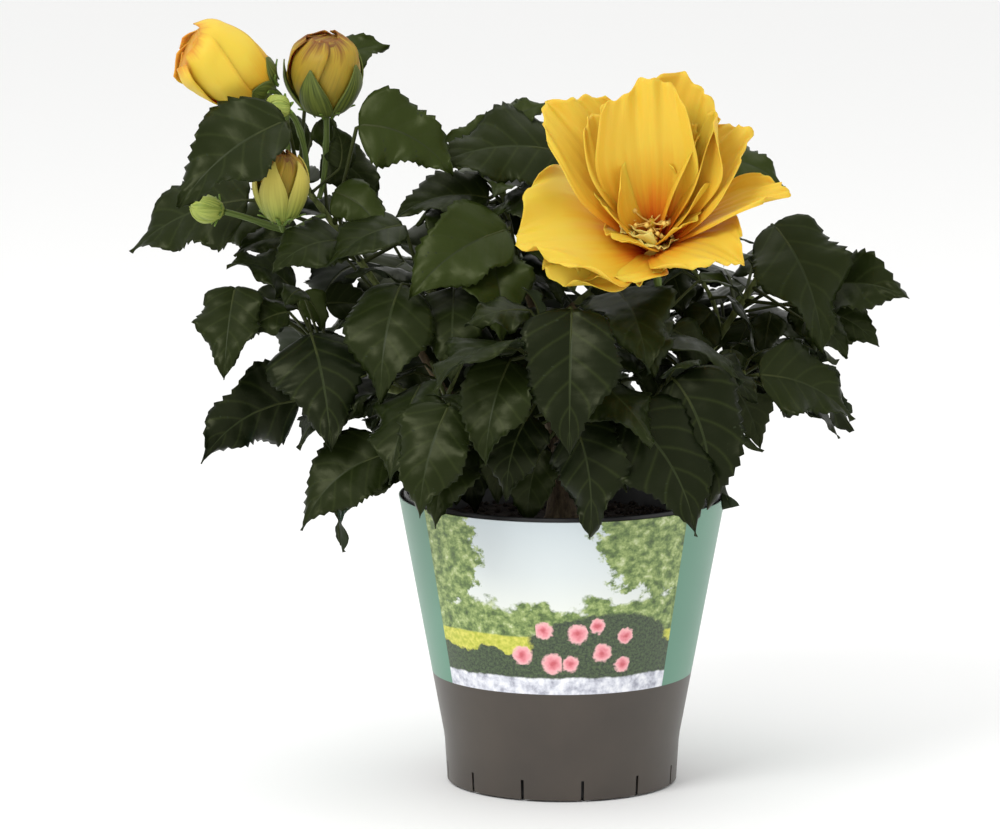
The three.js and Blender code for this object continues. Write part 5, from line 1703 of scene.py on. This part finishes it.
def addCalyx(parts, foot, axis, length, radius, reach, blunt, sepalSlot, bracts, bractLength, taper=2.4):
    # a cup, five keeled sepals that lie on the bud, and narrow bracts below them
    cupTs = np.linspace(-0.03, 0.1, 7)
    cupRadii = outlineAt(np.maximum(cupTs, 0), blunt) * radius * np.array([0.35, 0.7, 0.92, 1, 1, 1, 0.9])
    addTube(parts, foot + np.outer(cupTs, axis) * length, np.maximum(cupRadii, 1.4), 20, sepalSlot)
    s, t = np.meshgrid(np.linspace(-1, 1, 9), np.linspace(0.03, 1, 16))
    along = t * reach
    halfAngle = math.pi / 5 * 1.12 * (1 - t ** taper) + 0.02
    keel = 0.35 + 0.7 * (1 - np.abs(s)) * np.sin(math.pi * np.minimum(t * 1.2, 1))
    proud = keel + (1.1 * np.maximum(t - 0.8, 0) if reach < 0.95 else 0)
    for k in range(5):
        angles = 2 * math.pi * k / 5 + 0.3 + halfAngle * s
        grid = around(foot, axis, length, outlineAt(along, blunt) * radius + proud, angles, along)
        addSlab(parts, grid, 0.6, sepalSlot, sepalSlot, np.stack([s * 0.5 + 0.5 + k, t], axis=-1))
    s, t = np.meshgrid(np.linspace(-1, 1, 3), np.linspace(0, 1, 7))
    out = radius * 0.3 + bractLength * (0.45 * t + 0.35 * t * t)
    rise = (bractLength * (0.75 * t - 0.25 * t * t)) / length
    width = 0.9 * np.sin(math.pi * (0.12 + 0.86 * t)) ** 0.6 + 0.1
    for k in range(bracts):
        angle = 2 * math.pi * (k + 0.3 * chance(k, 610, 0)) / bracts
        grid = around(foot, axis, length, out, angle + s * width / np.maximum(out, 1), rise - 0.02)
        addSlab(parts, grid, 0.55, bractSlot, bractSlot, np.stack([s * 0.5 + 0.5, t], axis=-1))


def addStalk(parts, path, thin):
    # with the small swelling where a stalk breaks
    t = np.linspace(0, 1, 24)
    radii = np.linspace(stalkRadius * thin, stalkRadius, 24) + 0.45 * np.exp(-((t - 0.62) / 0.06) ** 2)
    addTube(parts, smoothPath(path, 24), radii, 10, stemSlot)


def addFurledPetals(parts, foot, axis, length, radius, blunt, twist, slot, lift):
    # five petals wound round each other over a core, their free edges lifting at the end
    s, t = np.meshgrid(np.linspace(0, 1, 18), np.linspace(0.04, 1, 26))
    for k in range(5):
        angle = 2 * math.pi * k / 5 + twist * t + 2.35 * (s - 0.5)
        shell = outlineAt(t, blunt) * radius * (0.8 + 0.2 * s) - 0.5
        wave = lift * np.maximum(t - 0.72, 0) * s ** 3 * (1 + 0.5 * np.sin(9 * t + k))
        tip = t * (1 - 0.05 * (1 - s) ** 2) - 0.05 * t ** 6 * np.abs(np.sin(4 * s + k))
        grid = around(foot, axis, length, shell + wave + 0.15 * np.sin(s * 20), angle, tip)
        addSlab(parts, grid, 0.45, slot, slot, np.stack([s, t], axis=-1))
    coreTs = np.linspace(0.02, 0.93, 20)
    addTube(parts, foot + np.outer(coreTs, axis) * length, outlineAt(coreTs, blunt) * radius * 0.76, 24, slot)


def addStamens(parts, foot, axis):
    # filaments that stand round the column, each with its anther
    side, over = bloomBasis(axis)
    count = bloomLook["filaments"]
    for k in range(count):
        angle = leafRule["goldenTurn"] * k
        out = side * math.cos(angle) + over * math.sin(angle)
        start = foot + axis * bloomLook["columnLength"] * mix(0.45, 1.0, k / count)
        size = mix(*bloomLook["filamentLength"], chance(k, 620, 0))
        end = start + out * size + axis * size * mix(0.2, 1.0, chance(k, 620, 1))
        filament = bentPath(start, unit(out + axis * 0.2), end, 5)
        addTube(parts, filament, np.linspace(0.35, 0.25, len(filament)), 6, pollenSlot)
        anther = grainCorners * mix(*bloomLook["antherSize"], chance(k, 620, 2))
        addPart(parts, anther + end, grainFaces, pollenSlot)


def petalSlot(length):
    if length > bloomLook["outerFrom"]:
        return outerSlot
    return innerSlot if length > bloomLook["innerFrom"] else foldSlot


def makeFlower():
    petals, greens = [], []
    us = np.linspace(1, -1, bloomLook["columns"])
    ts = mix(0.02, 1, np.linspace(0, 1, bloomLook["rows"]) ** 0.95)
    u, t = np.meshgrid(us, ts)
    thickness = mix(bloomLook["petalThickness"], bloomLook["edgeThickness"], np.maximum(np.abs(u), t))
    for k, petal in enumerate(flower["petals"] + flower["petaloids"]):
        slot = petalSlot(petal[1])
        grid = petalPoints(petal, us, ts, 1.0 if slot == outerSlot else 0.8, k)
        addSlab(petals, grid, thickness, slot, slot, np.stack([u * 0.5 + 0.5, t], axis=-1))
    foot, axis = flower["foot"], flower["axis"]
    column = foot + np.outer(np.linspace(0, 1, 10), axis) * bloomLook["columnLength"]
    addTube(petals, column, np.linspace(2.0, 1.1, 10), 12, innerSlot)
    turns, t = np.meshgrid(np.linspace(0, 2 * math.pi, 33), np.linspace(0, 1, 10))
    footRadius, rimRadius, height = bloomLook["throatCup"]
    cup = around(foot, axis, height, mix(footRadius, rimRadius, t ** 1.2), turns, t)
    addSlab(petals, cup, 0.5, innerSlot, innerSlot, np.stack([turns, t * 0.3], axis=-1))
    addStamens(petals, foot, axis)
    dress(joinParts("openFlower", petals, bloomMaterials()), "petals", "flower_open")
    addStalk(greens, stalkPath(stems["flower"], 1, foot, axis), 1)
    addCalyx(greens, foot - axis * 5, axis, length=30, radius=8.5, reach=0.62, blunt=0.9, sepalSlot=0,
             bracts=8, bractLength=11)
    dress(joinParts("flowerCalyx", greens, greenMaterials()), "foliage", "flower_open")


# how blunt a bud's end is; its petals' wind, how narrow they stand in the sepals, how far their edges lift
# and their slot; its sepals' slot and taper
budLook = {
    "bud_opening": {"blunt": 0.62, "wind": 1.5, "inset": 0, "lift": 9, "petal": 0, "sepal": 3, "taper": 2.4},
    "bud_upright": {"blunt": 0.45, "wind": 1, "inset": 1.4, "lift": 5, "petal": 1, "sepal": 3, "taper": 1.2},
    "bud_striped": {"blunt": 0.3, "wind": 1, "inset": 1.4, "lift": 5, "petal": 1, "sepal": 0, "taper": 2.4},
    "bud_green_low": {"blunt": 0.16, "sepal": 4, "taper": 2.4},
    "bud_green_high": {"blunt": 0.16, "sepal": 4, "taper": 2.4},
}


def makeBuds():
    deep, yellow = bloomLook["deepYellow"], bloomLook["yellow"]
    pale = petalMaterial("furledPetal", [(0, bloomLook["furledFoot"]), (0.2, deep), (0.45, yellow),
                                         (0.9, yellow), (1, bloomLook["furledTip"])], 0.08)
    streaked = petalMaterial("streakedPetal", bloomLook["streaked"], 0.3)
    for name, (at, foot, axis, length, radius, reach, petalsShow) in buds.items():
        look, foot, axis = budLook[name], np.array(foot, float), unit(axis)
        blunt = look["blunt"]
        greens = []
        addStalk(greens, stalkPath(stems["left_top"], at, foot, axis), 0.85)
        if petalsShow:
            petals = []
            addFurledPetals(petals, foot, axis, length, radius - look["inset"], blunt,
                            look["wind"], look["petal"], look["lift"])
            dress(joinParts(name + "_petals", petals, [pale, streaked]), "bud", name)
        else:
            coreTs = np.linspace(0, 0.97, 14)
            coreRadii = outlineAt(coreTs, blunt) * radius * 0.92
            addTube(greens, foot + np.outer(coreTs, axis) * length, coreRadii, 18, look["sepal"])
        bractLength = mix(5, 9, min(1, length / 34))
        addCalyx(greens, foot, axis, length, radius - 0.9, reach, blunt, look["sepal"],
                 bracts=7, bractLength=bractLength, taper=look["taper"])
        dress(joinParts(name + "_calyx", greens, greenMaterials()), "bud", name)
    print("flower and buds dressed")


draw = np.random.default_rng(7)
makeStage()
makePot()
makeSoil(draw)
makeSleeve()
print("pot, soil and sleeve dressed")
grown = growAll()
makeWood()
makeFoliage(grown)
makeFlower()
makeBuds()
makeCamera()
